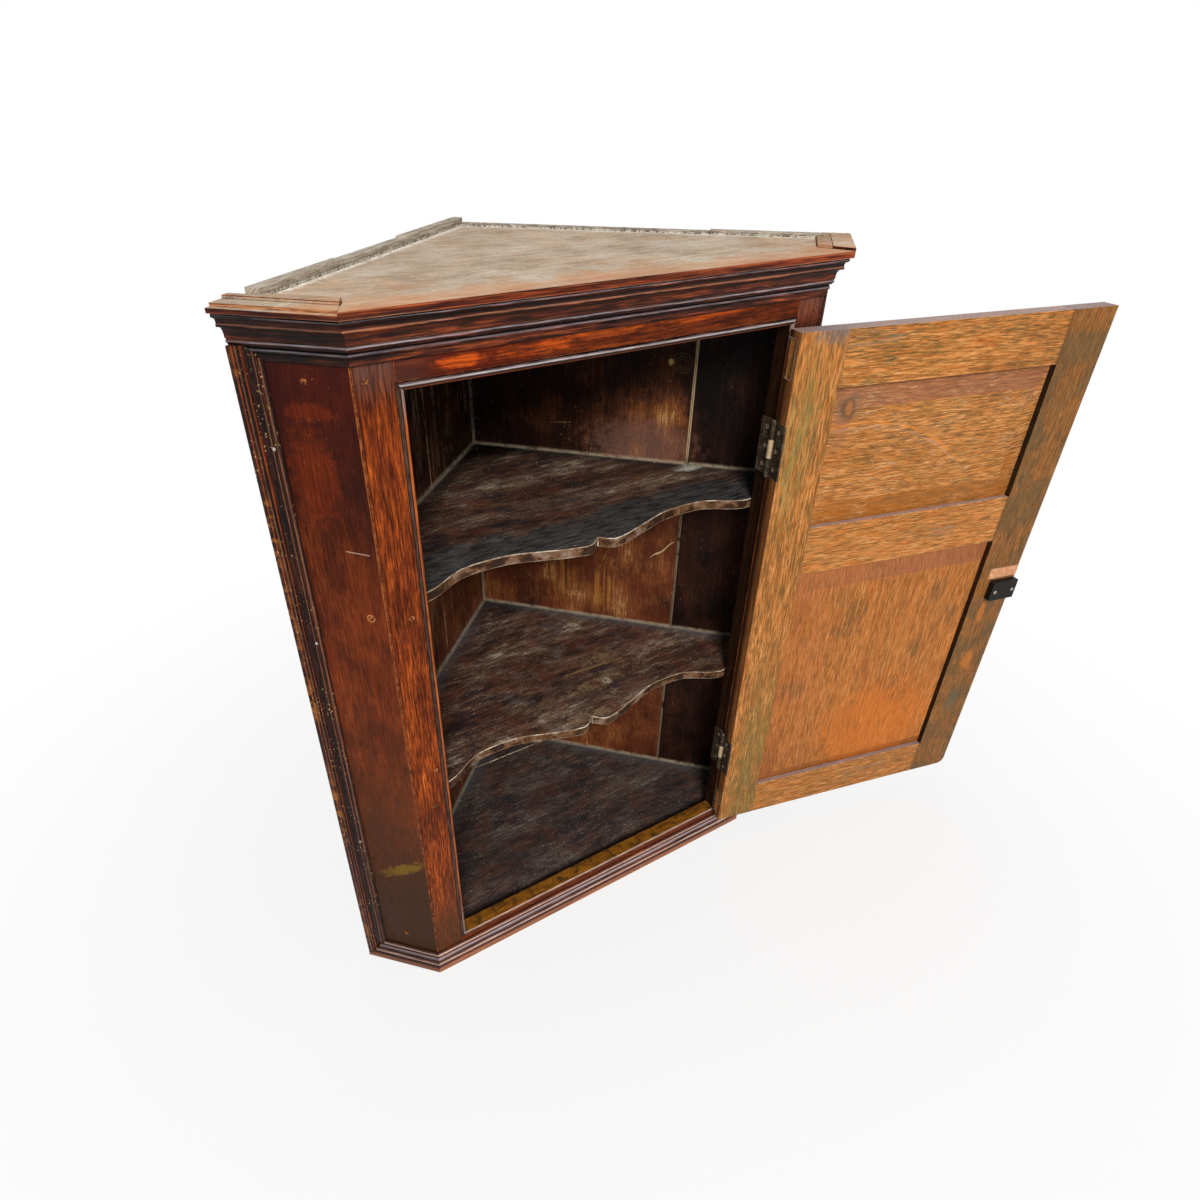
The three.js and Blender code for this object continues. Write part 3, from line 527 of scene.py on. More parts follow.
# How much each pattern of the wood shows in its tone
STILE_GRAIN = {"rings": 0.1, "streaks": 0.08, "fibres": 0.3, "dashes": 0.34, "blotches": 0.16}
RETURN_GRAIN = {"rings": 0.03, "streaks": 0.06, "fibres": 0.1, "dashes": 0.16, "blotches": 0.2}
RAIL_GRAIN = {"rings": 0.04, "streaks": 0.12, "fibres": 0.2, "dashes": 0.22, "blotches": 0.14}
# Orange flames in the polish of the top rail: centre, reach and how much lighter
FLAMES = (
    ((-0.191, 0.9367), (0.034, 0.008), 0.4),
    ((-0.11, 0.938), (0.06, 0.008), 0.26),
    ((-0.02, 0.944), (0.06, 0.008), 0.22),
    ((0.12, 0.944), (0.08, 0.007), 0.18),
)


def show_colour(s, middle, grain=STILE_GRAIN):
    """Dark red-brown polish over oak, orange where it has worn thin along the grain."""
    colour = s.ramp(s.tone(middle, **grain), SHOW_TONES)
    return s.mix(s.pores * 0.4, colour, (36, 13, 8))


def show_wood(name, origin, way, grain, seed, middle, pattern, marks=None):
    """Polished oak of the front frame and the side returns."""
    s = Board(name, origin, way, grain, seed)
    s.colour = show_colour(s, middle(s), pattern)
    if marks:
        marks(s)
    flat_top = s.most(s.smooth(s.lifted, 0.9, 0.97), s.smooth(s.high, case_top, case_top + 0.0006))
    s.stain(flat_top, top_dust(s, 0.4))
    rough = 0.36 + s.blotches * 0.1 + s.pores * 0.2 + flat_top * 0.3
    height = s.pores * -0.6 + s.fibres * 0.3 + s.blotches * 0.4
    return s.finish(rough, height, PORE_DEPTH, gloss=0.07)


def top_dust(s, middle=0.6):
    """Dust and wear on what faces up at the top of the case, worn warm along its front."""
    x = s.dot(RIGHT)
    y = s.dot(BACK)
    bent = y + (s.grains(5) - 0.5) * 0.05
    grain = s.noise(s.combine(x * 16.0, bent * 90.0, s.high * 60.0), 6.0, 0.74)
    fine = s.noise(s.combine(x * 130.0, bent * 420.0, s.high * 300.0), 3.0, 0.7)
    patches = cloud(s, 13.0)
    tone = middle + (grain - 0.5) * 1.3 + (fine - 0.5) * 0.9 + (patches - 0.5) * 0.3
    colour = s.ramp(s.clamped(tone), TOP_TONES)
    tan = s.grit(9, 0.5, 0.66) * s.smooth(grain, 0.42, 0.6)
    colour = s.mix(tan * 0.45, colour, (198, 152, 112))
    cold = s.grit(11, 0.48, 0.34) * s.smooth(fine, 0.4, 0.6)
    colour = s.mix(cold * 0.35, colour, (176, 170, 164))
    ragged = (grain - 0.5) * 0.09 + (patches - 0.5) * 0.05
    warm = s.smooth(y + ragged, 0.04, -0.02) * s.smooth(s.grains(7), 0.36, 0.56, 0.35, 1.0)
    colour = s.mix(warm * 0.6, colour, (204, 148, 104))
    worn = s.smooth(y + ragged, -0.012, -0.035) * s.smooth(fine, 0.4, 0.62)
    colour = s.mix(worn * 0.35, colour, (186, 104, 62))
    stains = s.grit(26, 0.6, 0.72) * s.smooth(grain, 0.4, 0.6)
    colour = s.mix(stains * 0.5, colour, (120, 96, 74))
    specks = s.grit(420, 0.66, 0.72) * s.grit(20, 0.42, 0.6)
    return s.mix(specks * 0.7, colour, (232, 224, 208))


def moulding_wood(name, origin, way, grain, seed, middle, marks, shine=0.7):
    """Oak of the run mouldings: painted shade in the hollows, a painted highlight on what faces up, and
    dust on its flat top.
    """
    s = Board(name, origin, way, grain, seed)
    s.colour = s.ramp(s.tone(middle, streaks=0.3, fibres=0.45, dashes=0.22, blotches=0.3), MOULDING_TONES)
    # Painted shade: ambient occlusion darkens the hollows of the profile towards black.
    hollow = s.node("ShaderNodeAmbientOcclusion", samples=HOLLOW_RAYS, only_local=False)
    hollow.inputs["Distance"].default_value = HOLLOW_REACH
    shade = s.smooth(Value(s, hollow.outputs["AO"]), 0.45, 0.8, 1.0, 0.0)
    s.stain(shade * 0.85, BLACK)
    # Painted highlight: a pale bluish tint on the facets that face up.
    painted_highlight = s.near(s.lifted, 0.7, 0.25) * s.smooth(s.fibres, 0.1, 0.9) * shine
    s.stain(painted_highlight * 0.3, HIGHLIGHT_TINT)
    marks(s)
    flat_top = s.smooth(s.lifted, 0.9, 0.97) * s.smooth(s.high, case_top - 0.006, case_top - 0.004)
    s.stain(flat_top, top_dust(s, 0.52))
    rough = 0.3 + s.blotches * 0.12 + flat_top * 0.3
    height = s.fibres * 0.4 + s.blotches * 0.6
    return s.finish(rough, height, GRAIN_DEPTH, gloss=0.12)


def inner_wood(name, way, grain, seed, colours, marks):
    """Dry, unpolished boards inside the case."""
    s = Board(name, inner_corner, way, grain, seed)
    s.colour = colours(s)
    marks(s)
    rough = 0.58 + s.blotches * 0.15
    height = s.fibres * 0.5 + s.dashes * 0.4 + s.blotches * 0.5
    return s.finish(rough, height, GRAIN_DEPTH, gloss=0.1)


def door_wood(name, grain, seed, middle, green, orange, marks):
    """Golden oak inside with green-grey dirt in its grain, red-brown polish on the door's front."""
    panel = "panel" in name
    depth = 0.12 if panel else 1.0
    s = Board(name, hinge_axis, -RIGHT, grain, seed, swings=True, ring=0.0045, fine=0.9, depth=depth)
    tone = s.tone(middle, rings=0.1, streaks=0.08, fibres=0.24, dashes=0.46, blotches=0.14)
    s.colour = s.ramp(tone, DOOR_TONES)
    red = s.pattern(26.0, 420.0, 3.0, 3.1, 0.15)
    s.stain(s.smooth(red, 0.5, 1.0) * orange, (210, 104, 28))
    fleck = s.pattern(40.0, 460.0, 3.0, 6.3, 0.15)
    dirt = s.smooth(fleck, 0.5, 1.0) * s.smooth(cloud(s, 14.0), 0.1, 0.8)
    s.stain(dirt * green, (70, 78, 44))
    s.stain(s.pores * 0.75, (88, 62, 34))
    marks(s)
    lit_edge = (196, 126, 84) if panel else (158, 144, 146)
    s.stain(s.smooth(s.lifted, 0.6, 0.9) * 0.7, lit_edge)
    outward = s.smooth(s.faces(-BACK), 0.35, 0.5)
    s.stain(outward, show_colour(s, 0.46))
    rough = 0.5 + s.blotches * 0.12 + outward * -0.15
    height = s.pores * -0.8 + s.dashes * 0.5 + s.blotches * 0.4
    return s.finish(rough, height, PORE_DEPTH, gloss=0.14)


def plain_finish(name, colour, spots, rough, metal=0.0, gloss=0.3, scale=180):
    """Iron, worn arrises and small wood parts: a mottled colour with fine pits."""
    s = Shader(name)
    wide = s.noise(s.scaled(scale), 4.0, 0.65)
    fine = s.noise(s.scaled(PIT_SCALE))
    s.colour = s.mix(s.smooth(wide, 0.42, 0.66), colour, spots)
    return s.finish(rough + fine * 0.25, wide + fine, PIT_DEPTH, gloss, metal)


def hinge_finish():
    """Rusty iron of the hinges, rubbed bright on the middle knuckle, with a painted glint on it."""
    s = Shader("hinge_iron")
    s.axes(hinge_axis, RIGHT)
    s.colour = s.mix(s.grit(420, 0.42, 0.66), (24, 22, 18), (86, 66, 44))
    across = s.dot(RIGHT) - hinge_axis.x
    barrel = s.smooth(s.length(across, s.dot(BACK) - hinge_axis.y), 0.0062, 0.0056)
    # Painted highlight: the middle knuckle is rubbed bright and carries a painted glint.
    for middle in HINGE_HEIGHTS:
        knuckle = barrel * s.smooth(abs(s.high - middle), 0.014, 0.012)
        s.stain(knuckle * (0.4 + s.grains(420)), (196, 168, 132))
    dusty = s.near(across, 0.0, 0.05) * s.grit(60, 0.5, 0.64)
    s.stain(dusty * 0.3, (120, 112, 100))
    return s.finish(0.4 + s.grains(420) * 0.3, s.grains(420), PIT_DEPTH, 0.3, 0.2)


def return_level(s):
    """How light the polish of a return is at each height: darkened under the cornice as painted shade, and
    dark at the foot.
    """
    # Painted shade under the cornice
    cornice_shade = s.smooth(s.high, 0.64, 0.92, 0.0, -0.36)
    dark_foot = s.smooth(s.high, 0.3, 0.03, 0.0, -0.24)
    dark_edge = s.smooth(s.wide, 0.066, 0.088, 0.0, -0.1)
    return 0.46 + cornice_shade + dark_foot + dark_edge + (cloud(s, 7.0) - 0.5) * 0.2


def return_marks(s):
    """Brown low down, red at the top, with a worn arris and small chips."""
    s.stain(s.smooth(s.high, 0.72, 0.95) * 0.4, (66, 17, 12))
    worn = s.near(s.wide, 0.0012, 0.0012) * (0.2 + s.dashes * 0.6)
    s.stain(worn, (176, 100, 50))
    s.stain(s.smooth(s.high, 0.6, 0.25) * 0.5, (76, 42, 14))
    s.stain(s.smooth(s.high, 0.4, 0.1) * 0.8, (50, 26, 4))
    chips = s.grit(380, 0.68, 0.72) * s.grit(14, 0.5, 0.6)
    s.stain(chips * 0.7, (180, 120, 70))


# Rows of patches: centre, reach, raggedness, strength and colour
# Painted highlights: orange glow patches high on the left return
RETURN_HIGHLIGHTS = (
    ((0.05, 0.9), (0.03, 0.012), 0.7, 0.25, (158, 58, 16)),
    ((0.058, 0.83), (0.034, 0.06), 0.7, 0.25, (158, 58, 16)),
)
WALL_STAINS = (
    ((0.152, 0.44), (0.02, 0.06), 0.5, 0.55, (176, 118, 52)),
    ((0.225, 0.42), (0.03, 0.05), 0.5, 0.55, (176, 118, 52)),
)
CLOSING_WEAR = (
    ((0.4607, 0.314), (0.013, 0.028), 0.8, 0.6, (202, 118, 44)),
    ((0.45, 0.42), (0.01, 0.03), 0.8, 0.6, (202, 118, 44)),
    ((0.456, 0.222), (0.016, 0.04), 0.8, 0.5, (88, 90, 70)),
)
KNOT = (
    ((0.094, 0.812), (0.024, 0.024), 0.5, 0.5, (126, 98, 76)),
    ((0.095, 0.811), (0.014, 0.019), 0.3, 0.7, (84, 62, 46)),
    ((0.096, 0.812), (0.006, 0.013), 0.3, 0.8, (176, 108, 58)),
)


def left_return_marks(s):
    """The same, with faint painted highlights, a golden spot of painted reflection, a scratch and a peg."""
    return_marks(s)
    s.blots(RETURN_HIGHLIGHTS, 0.4 + s.fibres * 0.6)
    scratch = s.scratch((0.038, 0.750), (0.0095, 0.7485), 0.0011)
    s.stain(scratch * 0.7, (190, 160, 140))
    peg = s.ring((0.0206, 0.6665), 0.0042, 0.0014) * s.grit(120, 0.35, 0.5)
    s.stain(peg * 0.8, (196, 122, 66))
    # Painted reflection: a golden spot of reflected light low on the return
    s.face = (s.wide, s.high + s.wide * 0.62)
    golden = s.spot((0.034, 0.246), (0.042, 0.014), 0.9)
    s.stain(golden * 0.5, (134, 104, 12))


# Darker near the top as painted shade under the cornice, and darker at the foot
def left_stile_level(s):
    return 0.53 + s.smooth(s.high, 0.88, 0.945, 0.0, -0.14) + s.smooth(s.high, 0.16, 0.04, 0.0, -0.2)


# Painted shadow: the right stile is darker below the height of the top rail, where the open door shades it
def right_stile_shaded_level(s):
    return 0.46 + s.smooth(s.high, 0.93, 0.905, 0.0, -0.34)


def stile_marks(s):
    """Grey-brown where the cornice shades the stile, black at its joint, and darkened on its inner side as
    painted shade.
    """
    grey = s.smooth(s.high, 0.9, 0.945) * (0.2 + s.fibres * 0.4)
    s.stain(grey, (104, 78, 70))
    s.stain(s.smooth(s.high, 0.22, 0.06) * 0.65, (88, 52, 26))
    gap = s.near(abs(s.wide), 0.0022, 0.0012) * (0.5 + s.streaks * 0.5)
    s.stain(gap, BLACK)
    # Painted shade on the faces that do not look to the front
    inner = s.smooth(s.faces(-BACK), 0.5, 0.2)
    s.stain(inner * 0.85, (36, 20, 11))


def top_rail_level(s):
    level = 0.35 + (cloud(s, 9.0) - 0.5) * 0.12 + s.smooth(s.wide, -0.17, -0.25, 0.0, -0.12)
    for centre, reach, lift in FLAMES:
        level += s.spot(centre, reach, 0.5) * lift
    return level


def rail_redness(s):
    """Grey-red towards the left end of the top rail, and orange in its flames."""
    red = s.mix(s.smooth(s.wide, -0.2, -0.25), (96, 26, 14), (84, 48, 42))
    s.stain(s.smooth(s.wide, -0.05, -0.22) * 0.45, red)
    for centre, reach, lift in FLAMES:
        flame = s.spot(centre, reach, 0.6) * s.smooth(s.fibres, 0.2, 0.9)
        s.stain(flame * (1.7 * lift), (222, 88, 18))


def bottom_rail_level(s):
    return 0.4


def wall_colours(side, s):
    """Colours of a back wall: nearly black above with painted shadow, brown haze below, golden stains in
    the middle bay, and on the right wall painted pools of light.
    """
    middle_bay = s.smooth(s.high, 0.68, 0.64) * s.smooth(s.high, 0.35, 0.37)
    level = 0.35 + middle_bay * 0.25 + s.smooth(s.high, 0.36, 0.34, 0.0, 0.27)
    # Painted shadow: darker towards the top, where the top rail shades the walls
    level += s.smooth(s.high, 0.74, 0.84, 0.0, -0.16)
    if side == "right":
        # Painted light: brighter pools on the right wall in the upper and middle bays
        level += s.spot((0.29, 0.71), (0.13, 0.09), 0.3) * 0.34
        level += s.spot((0.19, 0.43), (0.12, 0.12), 0.4) * 0.14
        past = s.smooth(s.wide, joint_from(side) - 0.004, joint_from(side))
        level += past * s.smooth(s.high, 0.66, 0.7, -0.42, -0.18)
    level += (cloud(s, 12.0) - 0.5) * 0.3 + (s.grains(300) - 0.5) * 0.4
    tone = s.tone(level, streaks=0.1, fibres=0.1, dashes=0.18, blotches=0.26)
    red = s.smooth(s.high, 0.68, 0.62) * s.grit(16, 0.36, 0.6)
    red *= s.smooth(s.wide, joint_from("right") - 0.004, joint_from("right"), 1.0, 0.2)
    return s.mix(red * 0.3, s.ramp(tone, INNER_TONES), (112, 50, 30))


def joint_from(side):
    return RIGHT_JOINT if side == "right" else LEFT_JOINTS[0]


# Scratches of the right wall: their ends
WALL_SCRATCHES = (
    ((0.125, 0.72), (0.173, 0.7246)),
    ((0.2, 0.67), (0.201, 0.69)),
    ((0.22, 0.46), (0.235, 0.5)),
)


def wall_marks(side, s):
    """Marks of a back wall: stains, scratches, specks, pale joints and dust along the shelves."""
    joint = joint_from(side)
    if side == "right":
        haze = s.spot((0.28, 0.7), (0.1, 0.05))
        s.stain(haze * (0.1 + s.grains(300) * 0.7), (132, 98, 86))
        s.blots(WALL_STAINS, s.smooth(s.streaks, 0.2, 0.8))
        for start, end in WALL_SCRATCHES:
            line = s.scratch(start, end, 0.0009) * s.grit(150, 0.4, 0.55)
            s.stain(line, (176, 140, 84))
        hole = s.spot((0.3184, 0.829), (0.005, 0.006), 0.2)
        s.stain(hole, (188, 158, 104))
        for radius in (0.006, 0.010, 0.0145):
            knot = s.ring((0.3346, 0.8286), radius, 0.0014)
            s.stain(knot * 0.4, (96, 84, 54))
    else:
        worn = s.smooth(s.pattern(9.0, 130.0, 5.0, 2.2), 0.6, 0.95) * s.grit(30, 0.38, 0.56)
        s.stain(worn * 0.55, (136, 112, 92))
        for place, reach in ((0.145, 0.0011), (0.093, 0.0010)):
            crack = s.near(s.wide, place, reach) * s.grit(60, 0.4, 0.55)
            s.stain(crack, (158, 144, 112))
    fewer = s.smooth(s.wide, joint_from("right"), joint_from("right") + 0.002, 1.0, 0.3)
    specks = s.grit(270, 0.66, 0.7) * s.grit(14, 0.42, 0.62) * fewer
    s.stain(specks * 0.75, (180, 150, 116))
    for shelf in (floor_top, lower_shelf_top, upper_shelf_top):
        line = s.near(s.high, shelf, 0.006) * s.grit(70, 0.25, 0.55)
        s.stain(line * 0.9, (166, 148, 124))
    corner = s.near(s.wide, 0.0, 0.0055) * s.grit(70, 0.28, 0.48)
    s.stain(corner * 0.9, (164, 152, 130))
    if side == "right":
        dark = s.near(s.wide, joint + 0.003, 0.003)
        s.stain(dark * 0.8, BLACK)
        grey = s.near(s.wide, joint, 0.0028) * s.grit(60, 0.28, 0.48)
        s.stain(grey * 0.85, (168, 146, 116))
        upper = s.smooth(s.high, upper_shelf_top, upper_shelf_top + 0.02)
        s.stain(s.near(s.wide, joint, 0.0029) * upper, (216, 184, 142))
    else:
        grey = s.near(s.wide, joint, 0.0026) * s.grit(40, 0.4, 0.56)
        s.stain(grey * 0.8, (166, 150, 122))
    dry = s.ramp(s.tone(0.5, rings=0.2, streaks=0.3, fibres=0.2, dashes=0.3, blotches=0.3), DRY_TONES)
    for place in (joint,) if side == "right" else LEFT_JOINTS:
        dry = s.mix(s.near(s.wide, place, 0.0022) * 0.9, dry, BLACK)
    outside = s.smooth(s.faces(Vector((slope if side == "right" else -slope, slope, 0))), 0.3, 0.6)
    s.stain(outside, dry)
    ragged = (s.grains(90) - 0.5) * 0.004
    above = s.smooth(s.high + ragged, case_top - 0.001, case_top + 0.001)
    s.stain(above * (1.0 + outside * -1.0), rim_dust(s))


def rim_dust(s):
    """Grey-brown dusty tops of the back boards, crumbly down to the top board, with painted shade darkening
    the face just above it.
    """
    over = s.high + s.deep
    dusty = s.noise(s.combine(s.wide * 26.0, over * 240.0, 0.0), 5.0, 0.72)
    colour = s.ramp(dusty, RIM_TONES)
    ragged = (s.grains(90) - 0.5) * 0.008
    # Painted shade: the inner face just above the top board is darkened
    gap = s.smooth(s.high + ragged, case_top + 0.0042, case_top + 0.0022)
    colour = s.mix(gap * 0.7, colour, (82, 68, 54))
    crumbs = s.near(s.high, case_top, 0.0032) * s.grit(260, 0.4, 0.52)
    return s.mix(crumbs * 0.9, colour, (234, 228, 214))


# Scuffs of the lower shelf: centre and reach
SCUFFS = (
    ((0.088, 0.147), (0.05, 0.02)),
    ((0.05, 0.09), (0.07, 0.016)),
    ((0.0, 0.03), (0.06, 0.012)),
)


def from_wall(s):
    """How far a point lies from the nearer back wall."""
    return (inner_corner.y + (s.dot(BACK) + abs(s.dot(RIGHT))) * -1) * slope


def shelf_colours(level, red, blue, tones, spread, s):
    """Colours of a shelf's top: brown, brushed along the front, with blue-black and grey patches."""
    x = s.dot(RIGHT)
    y = s.dot(BACK)
    rough = s.noise(s.combine(x * 24.0, y * 80.0, level * 9.0), 6.0, 0.76)
    broad = s.noise(s.combine(x * 8.0, y * 20.0, level * 5.0), 6.0, 0.7)
    speckle = (s.grains(300) - 0.5) * 0.6
    mottle = (rough - 0.5) * 1.3 + (broad - 0.5) * 1.3
    tone = s.tone(level + mottle * spread + speckle, fibres=0.1, dashes=0.16, blotches=0.1)
    colour = s.ramp(tone, tones)
    reddish = s.grit(24, 0.42, 0.6) * s.smooth(rough, 0.4, 0.56)
    colour = s.mix(reddish * red, colour, (96, 48, 30))
    inky = s.grit(13, 0.5, 0.62) * s.smooth(rough, 0.62, 0.4)
    return s.mix(inky * blue, colour, (30, 35, 44))


def shelf_marks(name, s):
    """Marks of a shelf: blue-black rims and front band, grey dust, scuffs, specks and a worn front edge,
    with painted shade in the rear corner and, on the floor, a painted shadow along the front.
    """
    s.lie_flat()
    back = s.face[1]
    rim = from_wall(s)
    upper = name == "shelf_upper"
    on_floor = name.startswith("floor")
    dark_rim = s.smooth(rim + (s.streaks - 0.5) * 0.02, 0.004, 0.045 if upper else 0.03, 0.7, 0.0)
    s.stain(dark_rim, (28, 30, 33) if upper else (84, 86, 88))
    if upper:
        place = s.combine(s.dot(RIGHT) * 30.0, back * 200.0, 3.0)
        strokes = s.noise(place, 6.0, 0.78)
        worn = (s.grains(14) + strokes - 1.0) * 0.08
        front = s.smooth(back + worn + (s.fibres - 0.5) * 0.02, 0.104, 0.082)
        band = s.mix(s.smooth(strokes, 0.36, 0.64), (8, 10, 14), (82, 84, 84))
        s.stain(front * 0.88, band)
        heap = s.spot((0.2485, 0.146), (0.03, 0.016), 0.6)
        s.stain(heap * 0.8, (178, 176, 166))
    if name == "shelf_lower":
        for centre, reach in SCUFFS:
            scuff = s.spot(centre, reach, 0.9) * s.grit(120, 0.4, 0.6)
            s.stain(scuff * 0.7, (140, 112, 80))
        line = s.scratch((0.01, 0.132), (0.125, 0.126), 0.003) * s.grit(90, 0.3, 0.55)
        s.stain(line * 0.5, (190, 146, 92))
        blot = s.spot((0.0675, 0.0873), (0.009, 0.012), 1.0) * s.grit(160, 0.4, 0.5)
        s.stain(blot * 0.7, (176, 168, 146))
    if on_floor:
        # Painted shadow: the floor is darkened along its front, behind the bottom rail
        front = s.smooth(back, 0.035, 0.02)
        s.stain(front * 0.75, (18, 18, 22))
    haze = s.grit(40, 0.5, 0.66) * s.smooth(s.blotches, 0.4, 1.0)
    s.stain(haze * (0.12 if on_floor else 0.28), (122, 114, 114))
    # Painted shade: darkened in the rear corner, most of all on the upper shelf
    corner = s.spot((0.0, inner_corner.y), (0.13, 0.1), 0.3)
    s.stain(corner * (0.92 if upper else 0.4), (10, 4, 4))
    specks = s.grit(300, 0.665, 0.7) * s.grit(16, 0.42, 0.62)
    s.stain(specks * 0.75, (190, 174, 150))
    line = s.near(rim, 0.0, 0.008) * s.grit(80, 0.22, 0.5)
    s.stain(line * 0.9, (168, 162, 146))
    mottle = s.grit(40, 0.36, 0.64)
    edge = s.ramp(mottle * 0.75 + s.grains(400) * 0.25, EDGE_TONES)
    s.stain(s.smooth(s.lifted, 0.6, 0.4), edge)
    s.stain(s.smooth(s.lifted, -0.4, -0.6), under_side(s))


def under_side(s):
    """Plain dark wood of the faces that look down inside the case."""
    return s.ramp(s.tone(0.5, streaks=0.3, fibres=0.2, dashes=0.2, blotches=0.3), INNER_TONES)


def top_marks(s):
    """Pale crumbs along the joints with the back boards."""
    s.lie_flat()
    rim = from_wall(s)
    dark = s.near(rim, 0.001, 0.003) * s.grit(60, 0.4, 0.55)
    s.stain(dark * 0.6, (96, 78, 60))
    crumbs = s.near(rim, 0.005, 0.009) * s.grit(260, 0.4, 0.52) * s.grit(30, 0.28, 0.55)
    s.stain(crumbs * 0.95, (240, 234, 220))
    streak = s.scratch((0.058, 0.027), (0.209, 0.05), 0.0016) * s.grit(90, 0.35, 0.55)
    s.stain(streak * 0.7, (236, 228, 212))
    s.stain(s.smooth(s.lifted, -0.4, -0.6), under_side(s))


def hinge_stile_marks(s):
    """Green low down and by the hinge, blue-grey at the top, and dark on the hinge edge as painted shade.
    """
    fibre = s.smooth(s.pattern(16.0, 420.0, 4.0, 1.3), 0.2, 0.8)
    low = s.smooth(s.high, 0.46, 0.2) * s.smooth(s.wide, 0.002, 0.03) * (0.2 + fibre * 0.8)
    s.stain(low * 0.6, (92, 104, 56))
    middle = s.spot((0.024, 0.76), (0.03, 0.13)) * fibre
    s.stain(middle * 0.5, (120, 126, 72))
    stain = s.spot((0.052, 0.912), (0.034, 0.016), 0.7) * (0.4 + fibre * 0.6)
    s.stain(stain * 0.85, (110, 106, 106))
    joint = s.smooth(s.wide, 0.064, 0.0685)
    s.stain(joint * fibre * 0.35, (96, 70, 40))
    edge = s.smooth(s.wide, 0.0016, 0.0008)
    worn = s.mix(s.fibres * 0.6, (104, 62, 32), (176, 112, 62))
    # Painted shade: the hinge edge goes dark across part of its thickness
    side = s.mix(s.smooth(s.deep, 0.017, 0.008), worn, (34, 20, 12))
    for low, high in OLD_RECESSES:
        inside = s.within(s.high, low, high, 0.001)
        side = s.mix(inside * s.smooth(s.deep, 0.021, 0.02) * 0.5, side, (60, 40, 24))
        ends = s.most(s.near(s.high, low, 0.0012), s.near(s.high, high, 0.0012))
        span = s.smooth(s.deep, 0.022, 0.021) * (0.3 + s.grit(150, 0.4, 0.6))
        outline = s.most(ends * span, s.near(s.deep, 0.0205, 0.0011) * inside)
        side = s.mix(outline * 0.8, side, (168, 172, 150))
    s.stain(edge * 0.95, side)


def closing_stile_marks(s):
    """Dirty brown and green with worn orange patches, and black towards the panels as painted shade."""
    s.stain(0.42, (98, 66, 34))
    grey = s.smooth(cloud(s, 20.0), 0.3, 0.8)
    s.stain(grey * 0.45, (78, 74, 50))
    s.blots(CLOSING_WEAR)
    # Painted shade on the faces that look towards the panels
    inner = s.smooth(s.faces(RIGHT), 0.5, 0.9)
    s.stain(inner * 0.9, BLACK)


def rail_marks(stain, s):
    """The joint lines at a rail's ends, and dirt at one end of it."""
    low, high = RAIL_SPAN
    ends = s.most(s.smooth(s.wide, low + 0.003, low), s.smooth(s.wide, high - 0.003, high))
    s.stain(ends * 0.5, (86, 58, 32))
    dirt = s.spot(stain, (0.06, 0.016), 0.8) * s.smooth(s.fibres, 0.3, 0.8)
    s.stain(dirt * 0.55, (104, 100, 84))


def bevel_light(s, top, foot, side):
    """Painted light on the panel's bevels: a purple-brown reflection on those at the top, golden brown
    bounce light on those at the foot, warm on those at the hinge side.
    """
    s.stain(s.smooth(s.lifted, 0.02, 0.1) * 0.6, top)
    s.stain(s.smooth(s.lifted, -0.02, -0.1) * 0.65, foot)
    sideways = s.smooth(s.faces(RIGHT), 0.02, 0.1)
    s.stain(sideways * 0.15, side)


# Arched growth lines of the upper panel: how far below the top one, half width, colour and strength
ARCH_TOP = 0.789
ARCHES = (
    (0.0, 0.004, (226, 136, 58), 0.8),
    (0.006, 0.003, (190, 170, 160), 0.26),
    (0.03, 0.004, (120, 96, 66), 0.22),
    (0.055, 0.005, (120, 92, 56), 0.35),
)


def upper_panel_marks(s):
    """A knot by the corner, an arched growth line, pale and dark flecks and dirt."""
    # Painted light on the bevels
    bevel_light(s, (138, 88, 70), (156, 88, 18), (186, 110, 60))
    s.blots(KNOT)
    for drop, reach, tint, share in ARCHES:
        bow = (s.wide - 0.12) * (s.wide - 0.12) * 2.2
        line = s.near(s.high + bow, ARCH_TOP - drop, reach)
        line *= s.smooth(s.wide, 0.07, 0.085) * s.smooth(s.wide, 0.36, 0.26)
        s.stain(line * (0.3 + s.dashes * 0.7) * share, tint)
    dirt = s.smooth(s.blotches, 0.4, 0.8) * s.smooth(s.dashes, 0.5, 0.2)
    s.stain(dirt * 0.45, (112, 88, 58))
    dots = s.grit(200, 0.6, 0.68) * s.grit(20, 0.4, 0.6)
    s.stain(dots * 0.6, (84, 74, 44))
    pale = s.smooth(s.pattern(60.0, 420.0, 4.0, 4.7), 0.7, 0.95) * s.smooth(cloud(s, 18.0), 0.3, 0.8)
    s.stain(pale * 0.35, (226, 190, 152))


# Dark smudges of the lower panel: centre and reach
SMUDGES = (
    ((0.163, 0.51), (0.02, 0.03)),
    ((0.19, 0.471), (0.026, 0.036)),
    ((0.18, 0.44), (0.04, 0.022)),
    ((0.342, 0.481), (0.024, 0.032)),
    ((0.383, 0.43), (0.02, 0.024)),
    ((0.334, 0.37), (0.016, 0.028)),
    ((0.1, 0.33), (0.03, 0.03)),
    ((0.3, 0.3), (0.02, 0.02)),
)


